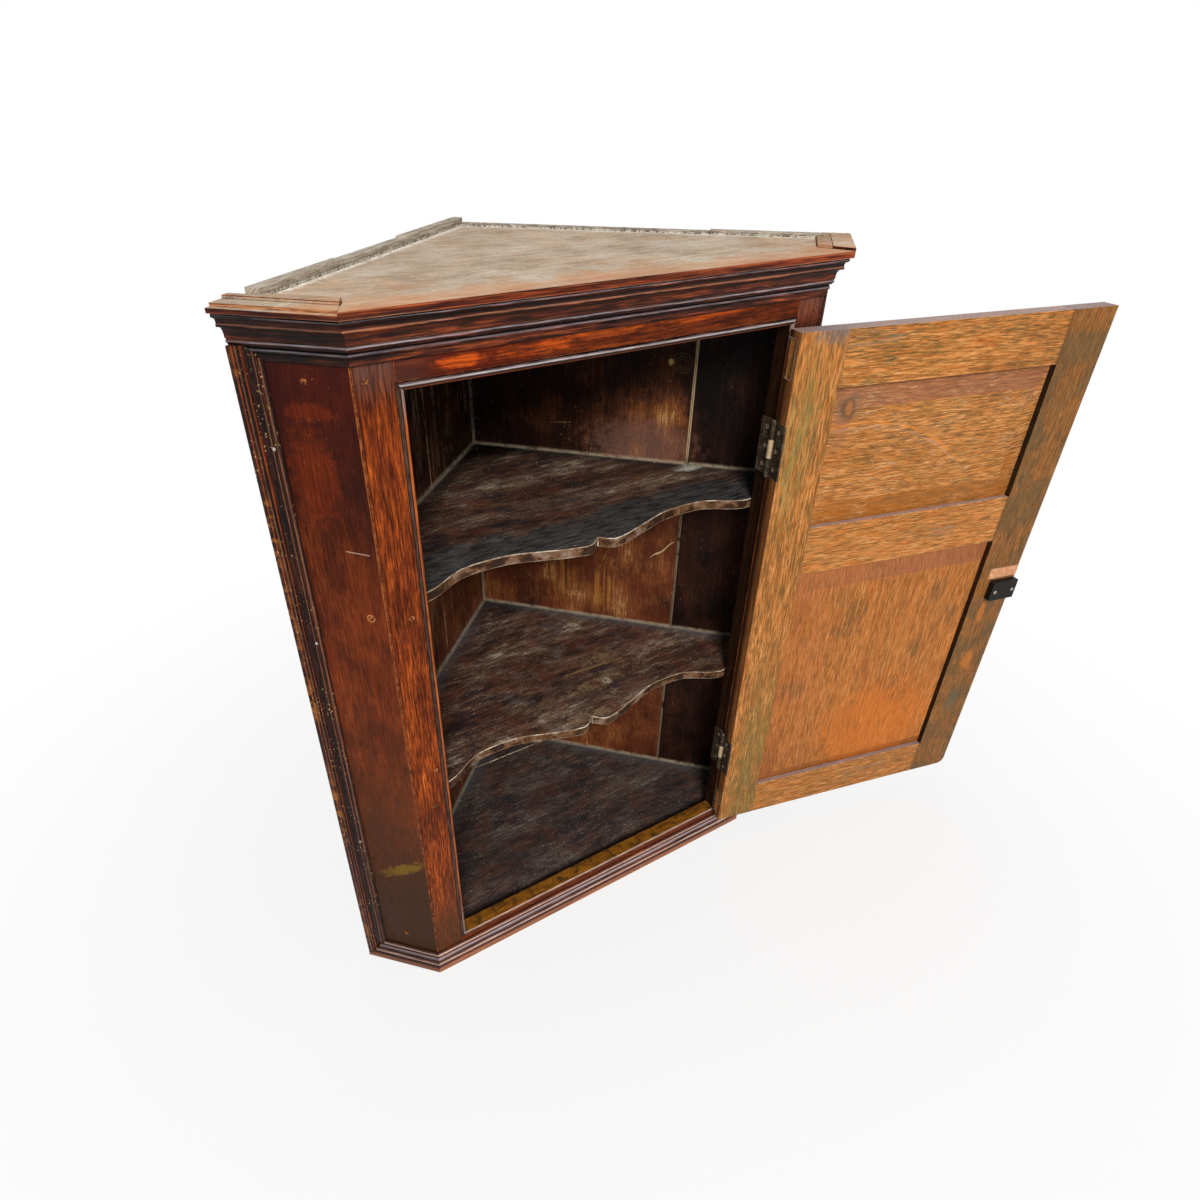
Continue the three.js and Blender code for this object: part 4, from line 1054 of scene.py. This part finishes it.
def lower_panel_marks(s):
    """Redder at the sides, glowing orange low down, dark smudges higher up."""
    # Painted light on the bevels
    bevel_light(s, (140, 92, 74), (84, 56, 18), (150, 92, 48))
    s.stain(0.25, (182, 96, 30))
    glow = s.spot((0.3, 0.2), (0.14, 0.14))
    s.stain(glow * 0.45, (216, 112, 22))
    rosy = s.smooth(s.wide, 0.2, 0.12) * s.smooth(s.fibres, 0.2, 0.9)
    s.stain(rosy * 0.35, (176, 98, 66))
    for centre, reach in SMUDGES:
        smudge = s.spot(centre, reach, 0.7) * s.smooth(s.fibres, 1.0, 0.1)
        s.stain(smudge * 0.55, (96, 74, 44))
    dirt = s.smooth(cloud(s, 16.0), 0.5, 1.0) * s.smooth(s.dashes, 0.6, 0.2)
    s.stain(dirt * 0.5, (118, 78, 38))


def cornice_marks(bright, stepped, s):
    """Lines of the cornice and the neck below it, as painted shade and painted highlights, and the worn
    orange fascia, and step on the left.
    """
    below = s.high - case_top + (s.fibres - 0.5) * 0.0009
    # Painted light: bright, high on the front and low on the sides, scales the fascia, the wear and the
    # pale lines, so the sides come out darker.
    fascia = s.smooth(below, -0.0078, -0.007) * s.smooth(s.streaks, 0.1, 0.9) * bright
    s.stain(fascia, s.mix(s.fibres, (70, 22, 9), (152, 62, 24)))
    worn_arris = s.near(below, -0.001, 0.0014) * s.smooth(s.streaks, 0.3, 0.7) * bright
    s.stain(worn_arris * 0.6, (182, 104, 64))
    uneven = (0.3 + s.dashes * 0.4 + s.streaks * 0.4) * (0.25 + bright * 0.75)
    s.lines(below, CORNICE_LINES, uneven)
    worn = s.smooth(s.streaks, 0.55, 0.9) * s.smooth(s.fibres, 0.3, 0.9) * bright
    s.stain(worn * 0.35, (158, 74, 32))
    if stepped:
        step = s.smooth(s.high, case_top - 0.0032, case_top - 0.0026)
        warm = s.mix(s.dashes, (112, 66, 40), (196, 140, 94))
        s.stain(step, warm)


def base_marks(bright, s):
    """Lines of the base moulding, as painted shade and painted highlights, and its worn orange-brown foot.
    """
    # Painted light: bright, high on the front and low on the sides, sets how light the moulding and its
    # pale lines come out.
    uneven = (0.6 + s.dashes * 0.3 + s.streaks * 0.3) * bright
    up = s.high + (s.fibres - 0.5) * 0.0007
    s.stain(s.smooth(s.high, 0.034, 0.02) * bright * 0.5, (136, 92, 74))
    plinth = s.smooth(s.high, 0.006, 0.0045) * bright
    s.stain(plinth, s.mix(s.fibres, (126, 70, 32), (190, 120, 70)))
    s.lines(up, BASE_LINES, uneven)


def edge_marks(s):
    """Lines of an edge moulding, as painted shade and painted highlights, with a golden crust and pale
    specks on its outer part.
    """
    uneven = 0.2 + s.dashes * 0.4 + s.streaks * 0.4
    place = s.wide + (s.streaks - 0.5) * 0.0008
    s.lines(place, EDGE_LINES, uneven)
    crust = s.smooth(s.wide, 0.108, 0.112) * s.grit(90, 0.46, 0.6) * s.grit(9, 0.42, 0.6)
    s.stain(crust * 0.55, (160, 98, 40))
    specks = s.grit(300, 0.62, 0.68) * s.grit(18, 0.42, 0.58)
    s.stain(specks * 0.8, (206, 168, 112))


def bead_marks(kind, s):
    """Each strip of the opening bead has its own wear and its own painted light."""
    broken = 0.5 + s.dashes * 0.5
    if kind == "top":
        above = s.high - BEAD_TOP
        # Painted highlight: a bluish-white line along the top bead
        s.stain(s.near(above, -0.0028, 0.0016) * broken, (190, 178, 178))
        s.stain(s.near(above, -0.0066, 0.0014) * 0.6, (150, 80, 40))
        return
    if kind == "bottom":
        ledge = s.smooth(s.lifted, 0.85, 0.97)
        golden = s.mix(s.grit(60, 0.3, 0.6), (76, 52, 22), (150, 94, 26))
        golden = s.mix(s.smooth(s.dashes, 0.3, 0.9) * 0.6, golden, (52, 34, 16))
        rear = s.smooth(s.dot(BACK), LEDGE_BACK - 0.0022, LEDGE_BACK - 0.0008)
        golden = s.mix(rear, golden, BLACK)
        s.stain(ledge, golden)
        # A pale worn line along the front arris, painted as a highlight
        arris = s.near(s.high - LEDGE, -0.0012, 0.0022) * s.smooth(s.lifted, 0.97, 0.8)
        s.stain(arris * broken, (206, 172, 152))
        return
    inside = abs(s.dot(RIGHT))
    front = s.smooth(s.faces(-BACK), 0.05, 0.3)
    strip = s.mix(s.fibres, (112, 46, 18), (206, 106, 42))
    # Painted highlight: grey-white on the side beads near the top and the foot
    ends = s.most(s.smooth(s.high, 0.88, 0.91), s.smooth(s.high, 0.14, 0.06))
    strip = s.mix(ends * 0.75, strip, (136, 126, 122))
    s.stain(front * 0.8, s.mix(s.dashes, (38, 24, 19), (96, 70, 58)))
    s.stain(s.smooth(inside, OPEN_HALF + 0.0044, OPEN_HALF + 0.0034) * front, strip)
    groove = s.near(inside, OPEN_HALF + 0.0046, 0.001) * front
    s.stain(groove, BLACK)
    # Painted shade: the faces that do not look to the front are darkened
    s.stain(s.smooth(front, 0.6, 0.2), s.mix(s.fibres, (20, 11, 6), (48, 28, 15)))


def shade_smooth_group():
    """A modifier group that shades every face smooth, for the bevelled boards."""
    group = bpy.data.node_groups.new("shade_smooth", "GeometryNodeTree")
    for side in ("INPUT", "OUTPUT"):
        group.interface.new_socket("Geometry", in_out=side, socket_type="NodeSocketGeometry")
    enter = group.nodes.new("NodeGroupInput")
    smooth = group.nodes.new("GeometryNodeSetShadeSmooth")
    leave = group.nodes.new("NodeGroupOutput")
    group.links.new(enter.outputs[0], smooth.inputs[0])
    group.links.new(smooth.outputs[0], leave.inputs[0])
    return group


SMOOTH_GROUP = shade_smooth_group()
WELD_DISTANCE = 0.00002
FLAT_ANGLE = math.radians(1)
SHARP_ANGLE = math.radians(42)
BEVEL_STEPS = 2
# Widths of the rounded arrises
SOFT = 0.0008
THIN = 0.0004
SHELF_ARRIS = 0.0011
DOOR_ARRIS = 0.0007
IRON_ARRIS = 0.0003
HINGE_ARRIS = 0.0005


def dress(name, material, edge=None, width=SOFT):
    """Puts the finish on a CAD piece and rounds its arrises a little, which show the edge's finish."""
    node = nodes[name]
    node.data.materials.clear()
    for finish in (material, edge):
        if finish is not None:
            node.data.materials.append(finish)
    weld = node.modifiers.new("weld", "WELD")
    weld.merge_threshold = WELD_DISTANCE
    merge = node.modifiers.new("merge", "DECIMATE")
    merge.decimate_type = "DISSOLVE"
    merge.angle_limit = FLAT_ANGLE
    bevel = node.modifiers.new("bevel", "BEVEL")
    bevel.width = width
    bevel.segments = BEVEL_STEPS
    bevel.limit_method = "ANGLE"
    bevel.angle_limit = SHARP_ANGLE
    bevel.use_clamp_overlap = True
    bevel.material = len(node.material_slots) - 1
    smooth = node.modifiers.new("smooth", "NODES")
    smooth.node_group = SMOOTH_GROUP
    normals = node.modifiers.new("normals", "WEIGHTED_NORMAL")
    normals.keep_sharp = False


show_edge = plain_finish("show_edge", (96, 42, 20), (172, 100, 54), 0.4, gloss=0.1, scale=90)
inner_edge = plain_finish("inner_edge", (138, 112, 88), (212, 198, 176), 0.5, gloss=0.1, scale=60)
door_edge = plain_finish("door_edge", (160, 104, 56), (216, 176, 132), 0.5, gloss=0.15)
iron = plain_finish("iron", (24, 22, 18), (86, 66, 44), 0.5, 0.2, scale=420)
iron_worn = plain_finish("iron_worn", (120, 112, 100), (196, 188, 174), 0.5, 0.1, scale=300)
lock_iron = plain_finish("lock_iron", (8, 7, 6), (32, 25, 19), 0.45, 0.1, gloss=0.2, scale=420)
screw = plain_finish("screw", (96, 82, 60), (168, 150, 120), 0.5, 0.1, scale=500)
hinge_iron = hinge_finish()
patch = plain_finish("patch", (206, 142, 100), (226, 176, 136), 0.55, gloss=0.15)

SIDE_SIGNS = {"left": -1, "right": 1}
STILE_LEVELS = {"left": left_stile_level, "right": right_stile_shaded_level}
RETURN_MARKS = {"left": left_return_marks, "right": return_marks}


def side_mouldings(side):
    """Mouldings of a side: name, way, grain, seed, tone, marks and shine."""
    way = RETURN_WAYS[side]
    return (
        ("cornice", way, "level", 12, 0.08, partial(cornice_marks, 0.25, side == "left"), 0.2),
        ("neck_moulding", way, "level", 12, 0.08, partial(cornice_marks, 0.15, False), 0.2),
        ("base_moulding", way, "level", 12, 0.08, partial(base_marks, 0.5), 0.2),
        ("edge_moulding", way, "upright", 16, 0.14, edge_marks, 0.1),
        ("opening_bead", RIGHT, "upright", 19, 0.2, partial(bead_marks, "side"), 0.2),
    )


def dress_sides():
    """The stiles, returns and run mouldings of both sides."""
    for more, (side, sign) in enumerate(SIDE_SIGNS.items()):
        arris = Vector((sign * case_half, front_y, 0))
        boards = (
            ("frame_stile", RIGHT, 3, STILE_LEVELS[side], STILE_GRAIN, stile_marks),
            ("side_return", RETURN_WAYS[side], 7, return_level, RETURN_GRAIN, RETURN_MARKS[side]),
        )
        for kind, way, seed, level, grain, marks in boards:
            name = f"{kind}_{side}"
            wood = show_wood(f"{name}_wood", arris, way, "upright", seed + more, level, grain, marks)
            dress(name, wood, show_edge)
        for kind, way, grain, seed, tone, marks, shine in side_mouldings(side):
            name = f"{kind}_{side}"
            wood = moulding_wood(f"{name}_wood", arris, way, grain, seed + more, tone, marks, shine)
            dress(name, wood, width=THIN)


def dress_front():
    """The rails and mouldings of the front."""
    origin = Vector((0, front_y, 0))
    rails = (
        ("frame_top_rail", 21, top_rail_level, rail_redness),
        ("frame_bottom_rail", 22, bottom_rail_level, None),
    )
    for name, seed, level, marks in rails:
        wood = show_wood(f"{name}_wood", origin, RIGHT, "level", seed, level, RAIL_GRAIN, marks)
        dress(name, wood, show_edge)
    kinds = (
        ("opening_bead_top", partial(bead_marks, "top"), 0.2),
        ("opening_bead_bottom", partial(bead_marks, "bottom"), 0.4),
        ("cornice_front", partial(cornice_marks, 0.9, False), 0.42),
        ("neck_moulding_front", partial(cornice_marks, 0.4, False), 0.42),
        ("base_moulding_front", partial(base_marks, 1.0), 0.5),
    )
    for seed, (name, marks, tone) in enumerate(kinds, 24):
        dress(name, moulding_wood(f"{name}_wood", origin, RIGHT, "level", seed, tone, marks), width=THIN)


def dress_inside():
    """The back boards, the shelves, the floor and the top."""
    for seed, name in enumerate(sorted(nodes), 30):
        if name.startswith("back_board"):
            side = "left" if "left" in name else "right"
            finish = partial(wall_colours, side), partial(wall_marks, side)
            dress(name, inner_wood(f"{name}_wood", WALL_WAYS[side], "upright", seed, *finish))
    shelves = (
        ("shelf_upper", 0.67, 0.5, 0.5, SHELF_TONES, 1.0),
        ("shelf_lower", 0.68, 0.6, 0.5, SHELF_TONES, 1.0),
        ("floor_board_front", 0.66, 0.4, 0.5, FLOOR_TONES, 0.6),
        ("floor_board_rear", 0.62, 0.2, 0.6, FLOOR_TONES, 0.6),
    )
    for seed, (name, *look) in enumerate(shelves, 41):
        finish = partial(shelf_colours, *look), partial(shelf_marks, name)
        wood = inner_wood(f"{name}_wood", RIGHT, "flat", seed, *finish)
        dress(name, wood, inner_edge, SHELF_ARRIS)
    dress("top_board", inner_wood("top_board_wood", RIGHT, "flat", 46, top_dust, top_marks))


def dress_door():
    """The frame and panels of the door, and the iron."""
    kinds = (
        ("door_hinge_stile", "upright", 0.47, 0.5, 0.35, hinge_stile_marks),
        ("door_closing_stile", "upright", 0.4, 0.5, 0.3, closing_stile_marks),
        ("door_top_rail", "level", 0.54, 0.75, 0.4, partial(rail_marks, (0.1, 0.9))),
        ("door_middle_rail", "level", 0.56, 0.3, 0.5, partial(rail_marks, (0.3, 0.6))),
        ("door_bottom_rail", "level", 0.5, 0.45, 0.4, partial(rail_marks, (0.3, 0.09))),
        ("door_panel_upper", "level", 0.54, 0.35, 0.3, upper_panel_marks),
        ("door_panel_lower", "upright", 0.5, 0.3, 0.4, lower_panel_marks),
    )
    for seed, (name, grain, *look) in enumerate(kinds, 51):
        edge = None if "panel" in name else door_edge
        dress(name, door_wood(f"{name}_wood", grain, seed, *look), edge, DOOR_ARRIS)
    # Fittings: a part of their names, the finish and the width of the arrises
    fittings = (
        ("lock_packing", patch, IRON_ARRIS),
        ("lock", lock_iron, IRON_ARRIS),
        ("_screw_", screw, IRON_ARRIS),
        ("_hinge_", hinge_iron, HINGE_ARRIS),
        ("escutcheon", iron, IRON_ARRIS),
    )
    for name in nodes:
        for part, finish, width in fittings:
            if part in name and "stile" not in name:
                dress(name, finish, iron_worn, width)
                break


dress_sides()
dress_front()
dress_inside()
dress_door()

# Pegs, nails and screws: rings of radius and rise, places on the faces, and insets
HEAD_SIDES = 18
PEG_RINGS = ((0.0034, -0.001), (0.0034, 0.0001), (0.003, 0.0004), (0.0016, 0.0005), (0.0006, 0.00035))
NAIL_RINGS = ((0.0021, -0.001), (0.0021, 0.0003), (0.0016, 0.0007), (0.0008, 0.0009), (0.0003, 0.0009))
SCREW_RINGS = ((0.0032, -0.0004), (0.0032, 0.0004), (0.0026, 0.0008), (0.0014, 0.001), (0.0005, 0.001))
STILE_PEGS = ((0.2734, 0.6604), (0.2759, 0.3534), (0.2673, 0.417), (0.2886, 0.9314))
RETURN_PEGS = ((0.0206, 0.6665), (0.05, 0.064), (0.05, 0.93))
MOULDING_NAILS = ((0.0955, 0.27), (0.0955, 0.62), (0.0955, 0.86))
LOCK_SCREW_INSET = 0.007
BOARD_MIDDLE = 0.009
NAIL_INSET = 0.025
PROBE = 0.05
# The splinter: its ends along the wall and up, and how many rings of points and sides it has
SPLINTER_ENDS = ((0.3079, 0.4956), (0.3477, 0.5323))
SPLINTER_RINGS = 9
SPLINTER_SIDES = 6
# The dust heap: its centre, reach and rise
HEAP_CENTRE = (0.2455, 0.146)
HEAP_REACH = (0.02, 0.009)
HEAP_RISE = 0.0016
HEAP_RINGS = 7
HEAP_SIDES = 22
# Crumbs: how far to the sides, the gap to the wall and the range from it, and how near the front
CRUMB_HALF = 0.3
CRUMB_GAP = 0.006
CRUMB_RANGE = 0.3
CRUMB_FRONT = 0.14
# Crumbs on each level: its name, height and number
CRUMBS = (
    ("top", case_top, 120),
    ("upper", upper_shelf_top, 90),
    ("lower", lower_shelf_top, 110),
    ("floor", floor_top, 90),
)

rusty = plain_finish("rusty", (34, 24, 18), (104, 70, 44), 0.6, 0.2, scale=420)
peg_wood = plain_finish("peg_wood", (60, 26, 12), (176, 108, 60), 0.45, gloss=0.1, scale=260)
dust = plain_finish("dust", (140, 134, 122), (216, 212, 200), 0.9, gloss=0.0, scale=500)
splinter_wood = plain_finish("splinter_wood", (176, 144, 96), (224, 204, 164), 0.7, gloss=0.05, scale=500)


def add_piece(name, points, faces, material, body, slot):
    """Makes a mesh piece that rides on a body."""
    mesh = bpy.data.meshes.new(name)
    mesh.from_pydata([tuple(point) for point in points], [], faces)
    mesh.shade_smooth()
    mesh.materials.append(material)
    piece = bpy.data.objects.new(name, mesh)
    bpy.context.collection.objects.link(piece)
    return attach(piece, body)


def swung(point, turn):
    """Where a point is after a turn about the hinge: the door's own turn opens it, and back shuts it."""
    return hinge_axis + Matrix.Rotation(turn, 3, "Z") @ (point - hinge_axis)


def touch(name, place, facing):
    """The point of a node's surface straight behind a place."""
    node = nodes[name]
    corners = [node.matrix_world @ vertex.co for vertex in node.data.vertices]
    tree = BVHTree.FromPolygons(corners, [tuple(face.vertices) for face in node.data.polygons])
    found = tree.ray_cast(place + facing * PROBE, -facing)[0]
    return place if found is None else found


def oval(centre, across, upward, sides):
    """Points round a centre, from the two ways to its rim."""
    turns = [2 * math.pi * step / sides for step in range(sides)]
    return [centre + across * math.cos(turn) + upward * math.sin(turn) for turn in turns]


def ring_faces(first, rings, sides):
    """Faces between rings of points that lie one after the other."""
    faces = []
    for low in range(first, first + (rings - 1) * sides, sides):
        for step in range(sides):
            after = (step + 1) % sides
            faces.append((low + step, low + after, low + sides + after, low + sides + step))
    return faces


def closed(points, sides):
    """Faces of a body whose rings of points are closed at both ends."""
    last = len(points) - sides
    ends = tuple(range(sides - 1, -1, -1)), tuple(range(last, len(points)))
    return [*ends, *ring_faces(0, len(points) // sides, sides)]


def turned(centre, facing, rings):
    """A turned head on a face, from rings of radius and rise: points and faces."""
    across = UP.cross(facing).normalized()
    upward = facing.cross(across)
    points = []
    for radius, rise in rings:
        points.extend(oval(centre + facing * rise, across * radius, upward * radius, HEAD_SIDES))
    return points, closed(points, HEAD_SIDES)


def joined(parts):
    """Several bodies as one list of points and one of faces."""
    points, faces = [], []
    for more_points, more_faces in parts:
        start = len(points)
        points.extend(more_points)
        faces.extend(tuple(start + index for index in face) for face in more_faces)
    return points, faces


# Turned heads: their rings, finish, body and slot
PEG = (PEG_RINGS, peg_wood, "carcass", "show_oak")
NAIL = (NAIL_RINGS, iron_worn, "carcass", "iron")
BACK_NAIL = (NAIL_RINGS, rusty, "carcass", "iron")
LOCK_SCREW = (SCREW_RINGS, iron_worn, "door", "iron")


def add_heads(name, node, places, facing, kind):
    """Heads of one kind on a face of a CAD piece, as one piece."""
    rings, material, body, slot = kind
    parts = [turned(touch(node, place, facing), facing, rings) for place in places]
    add_piece(name, *joined(parts), material, body, slot)


def add_pegs_and_nails():
    """Pegs of the frame's joints and nails of the edge mouldings, on both sides."""
    for side, sign in SIDE_SIGNS.items():
        places = [Vector((sign * x, front_y, z)) for x, z in STILE_PEGS]
        add_heads(f"stile_pegs_{side}", f"frame_stile_{side}", places, -BACK, PEG)
        facing = Vector((sign * slope, -slope, 0))
        arris = Vector((sign * case_half, front_y, 0))
        rows = (
            ("return_pegs", "side_return", RETURN_PEGS, PEG),
            ("moulding_nails", "edge_moulding", MOULDING_NAILS, NAIL),
        )
        for name, node, spots, kind in rows:
            places = [arris + RETURN_WAYS[side] * along + UP * high for along, high in spots]
            add_heads(f"{name}_{side}", f"{node}_{side}", places, facing, kind)


def add_back_nails():
    """Two nails through each back board into each shelf, the floor and the top."""
    levels = [level - BOARD_MIDDLE for level in (floor_top, lower_shelf_top, upper_shelf_top, case_top)]
    for name in sorted(nodes):
        if not name.startswith("back_board"):
            continue
        way = WALL_WAYS["left" if "left" in name else "right"]
        facing = Vector((math.copysign(slope, way.x), slope, 0))
        spans = [vertex.co.dot(way) for vertex in nodes[name].data.vertices]
        outer = max(vertex.co.dot(facing) for vertex in nodes[name].data.vertices)
        places = []
        for along in (min(spans) + NAIL_INSET, max(spans) - NAIL_INSET):
            places.extend(way * along + facing * outer + UP * high for high in levels)
        add_heads(f"{name}_nails", name, places, facing, BACK_NAIL)


def add_lock_screws():
    """Two screws that hold the lock's case to the closing stile."""
    corners = [swung(vertex.co, -door_turn) for vertex in nodes["lock_case"].data.vertices]
    left = min(corner.x for corner in corners) + LOCK_SCREW_INSET
    right = max(corner.x for corner in corners) - LOCK_SCREW_INSET
    high = sum(corner.z for corner in corners) / len(corners)
    back = max(corner.y for corner in corners)
    facing = swung(hinge_axis + BACK, door_turn) - hinge_axis
    places = [swung(Vector((x, back, high)), door_turn) for x in (left, right)]
    add_heads("lock_screws", "lock_case", places, facing, LOCK_SCREW)


def add_splinter():
    """A pale splinter that lifts off the right wall in the middle bay."""
    way = WALL_WAYS["right"]
    facing = Vector((-slope, -slope, 0))
    start, end = (Vector(point) for point in SPLINTER_ENDS)
    points = []
    for ring in range(SPLINTER_RINGS):
        share = ring / (SPLINTER_RINGS - 1)
        along, high = start.lerp(end, share)
        high += 0.002 * math.sin(share * 9)
        centre = inner_corner + way * along + UP * high + facing * (0.0012 + 0.004 * share * (1 - share))
        radius = 0.0016 * (1 - abs(2 * share - 1) ** 3) + 0.0003
        points.extend(oval(centre, facing * radius * 0.6, UP * radius, SPLINTER_SIDES))
    faces = closed(points, SPLINTER_SIDES)
    add_piece("wall_splinter", points, faces, splinter_wood, "carcass", "inner_oak")


def add_dust_heap():
    """A low heap of dust at the foot of the joint between the right back boards."""
    chance = random.Random(3)
    centre = Vector((*HEAP_CENTRE, upper_shelf_top))
    points = [centre + UP * HEAP_RISE]
    for ring in range(1, HEAP_RINGS + 1):
        share = ring / HEAP_RINGS
        for step in range(HEAP_SIDES):
            angle = 2 * math.pi * step / HEAP_SIDES
            reach = share * (0.8 + 0.25 * chance.random())
            rise = HEAP_RISE * (1 - share) * (0.6 + 0.6 * chance.random())
            across = HEAP_REACH[0] * reach * math.cos(angle)
            points.append(centre + Vector((across, HEAP_REACH[1] * reach * math.sin(angle), rise)))
    faces = [(0, 1 + step, 1 + (step + 1) % HEAP_SIDES) for step in range(HEAP_SIDES)]
    faces.extend((a, d, c, b) for a, b, c, d in ring_faces(1, HEAP_RINGS, HEAP_SIDES))
    faces.append(tuple(range(HEAP_RINGS * HEAP_SIDES, (HEAP_RINGS - 1) * HEAP_SIDES, -1)))
    add_piece("dust_heap", points, faces, dust, "carcass", "inner_oak")


def crumb(centre, size, chance):
    """A small irregular grain with six corners."""
    ways = (RIGHT, BACK, -RIGHT, -BACK, UP, -UP)
    points = [centre + way * size * (0.6 + 0.8 * chance.random()) for way in ways]
    faces = []
    for step in range(4):
        after = (step + 1) % 4
        faces.append((step, after, 4))
        faces.append((after, step, 5))
    return points, faces


def add_crumbs():
    """Crumbs and dust grains on the top, the shelves and the floor, most of them along the back."""
    chance = random.Random(11)
    for name, height, count in CRUMBS:
        parts = []
        while len(parts) < count:
            across = chance.uniform(-CRUMB_HALF, CRUMB_HALF)
            rim = CRUMB_GAP + CRUMB_RANGE * chance.random() ** 2.5
            back = inner_corner.y - abs(across) - rim / slope
            if back < CRUMB_FRONT:
                continue
            size = 0.0003 + 0.0008 * chance.random() ** 3
            parts.append(crumb(Vector((across, back, height + size / 2)), size, chance))
        add_piece(f"crumbs_{name}", *joined(parts), dust, "carcass", "inner_oak")


add_pegs_and_nails()
add_back_nails()
add_lock_screws()
add_splinter()
add_dust_heap()
add_crumbs()


# The floor, the lights and the camera
FLOOR_HALF = 12.0
FADE_START = 0.45
FADE_END = 1.5
FLOOR_WHITE = (0.82, 0.82, 0.82, 1)
FLOOR_DROP = 0.0005
# How much of the white shows in the floor near the object, and how bright the world lights it
FLOOR_SHARE = 0.74
WORLD_LIGHT = 0.3
# Lights: name, place, aim, size, power and colour
LIGHTS = (
    ("key", (-1.4, -3.0, 3.0), (0, 0, 0.5), 1.3, 150, (1.0, 0.98, 0.95)),
    ("top", (0.3, 0.3, 3.4), (0, 0.1, 0.9), 2.2, 22, (0.94, 0.97, 1.0)),
)


def seen_light(s):
    """One on the way from the camera, straight, by gloss or through glass, and zero on other ways."""
    path = s.node("ShaderNodeLightPath")
    straight, gloss, glass = (
        Value(s, path.outputs[f"Is {kind} Ray"]) for kind in ("Camera", "Glossy", "Transmission")
    )
    return s.most(straight, s.most(gloss, glass))


def floor_material():
    """White floor that keeps the shadow near the object and fades into the white behind it."""
    s = Shader("floor_white")
    distance = s.vector("LENGTH", s.place, output="Value")
    diffuse = s.node("ShaderNodeBsdfDiffuse")
    diffuse.inputs["Color"].default_value = FLOOR_WHITE
    light = s.node("ShaderNodeEmission")
    light.inputs["Strength"].default_value = 1.0
    blend = s.node("ShaderNodeMixShader")
    share = s.smooth(distance, FADE_START, FADE_END, FLOOR_SHARE, 1.0)
    s.feed(blend.inputs[0], seen_light(s) * share)
    s.tree.links.new(diffuse.outputs[0], blend.inputs[1])
    s.tree.links.new(light.outputs[0], blend.inputs[2])
    return s.end(blend)


def add_floor():
    mesh = bpy.data.meshes.new("floor")
    corners = [(-1, -1), (1, -1), (1, 1), (-1, 1)]
    mesh.from_pydata([(x * FLOOR_HALF, y * FLOOR_HALF, 0) for x, y in corners], [], [(0, 1, 2, 3)])
    floor = bpy.data.objects.new("floor", mesh)
    bpy.context.scene.collection.objects.link(floor)
    floor.location.z = -FLOOR_DROP
    mesh.materials.append(floor_material())


def add_world():
    """White to the camera and to gloss, and a dimmer even light on everything else."""
    s = Shader("studio", kind="worlds")
    background = s.node("ShaderNodeBackground")
    background.inputs["Color"].default_value = (1, 1, 1, 1)
    s.feed(background.inputs["Strength"], s.smooth(seen_light(s), 0.0, 1.0, WORLD_LIGHT, 1.0))
    bpy.context.scene.world = s.end(background, "World")


def add_light(name, place, aim, size, power, colour):
    data = bpy.data.lights.new(name, "AREA")
    data.shape = "DISK"
    data.size = size
    data.energy = power
    data.color = colour
    light = bpy.data.objects.new(name, data)
    bpy.context.scene.collection.objects.link(light)
    light.location = place
    light.rotation_mode = "QUATERNION"
    light.rotation_quaternion = (Vector(place) - Vector(aim)).to_track_quat("Z", "Y")


# Camera, from the photograph: focal length and image centre in pixels of a 1200 pixel square
IMAGE_SIDE = 1200
FOCAL_PIXELS = 757.53
CENTRE_PIXELS = (557.22, 606.62)
CAMERA_PLACE = Vector((-0.48722, -0.70443, 1.14576))
CAMERA_HEADING = math.radians(59.771)
CAMERA_TILT = math.radians(33.587)
CAMERA_ROLL = math.radians(-0.091)
SENSOR = 36.0
CLIP = (0.05, 100)


def add_camera():
    data = bpy.data.cameras.new("camera")
    data.sensor_fit = "AUTO"
    data.sensor_width = SENSOR
    data.lens = FOCAL_PIXELS / IMAGE_SIDE * SENSOR
    data.shift_x = (IMAGE_SIDE / 2 - CENTRE_PIXELS[0]) / IMAGE_SIDE
    data.shift_y = (CENTRE_PIXELS[1] - IMAGE_SIDE / 2) / IMAGE_SIDE
    data.clip_start, data.clip_end = CLIP
    camera = bpy.data.objects.new("camera", data)
    bpy.context.scene.collection.objects.link(camera)
    level = Vector((math.cos(CAMERA_HEADING), math.sin(CAMERA_HEADING), 0))
    forward = level * math.cos(CAMERA_TILT) - UP * math.sin(CAMERA_TILT)
    side = Vector((math.sin(CAMERA_HEADING), -math.cos(CAMERA_HEADING), 0))
    above = side.cross(forward)
    image_right = side * math.cos(CAMERA_ROLL) + above * math.sin(CAMERA_ROLL)
    image_up = above * math.cos(CAMERA_ROLL) - side * math.sin(CAMERA_ROLL)
    turn = Matrix((image_right, image_up, -forward)).transposed().to_4x4()
    camera.matrix_world = Matrix.Translation(CAMERA_PLACE) @ turn
    bpy.context.scene.camera = camera


add_floor()
add_world()
for light in LIGHTS:
    add_light(*light)
add_camera()
bpy.context.scene.view_settings.view_transform = "Standard"
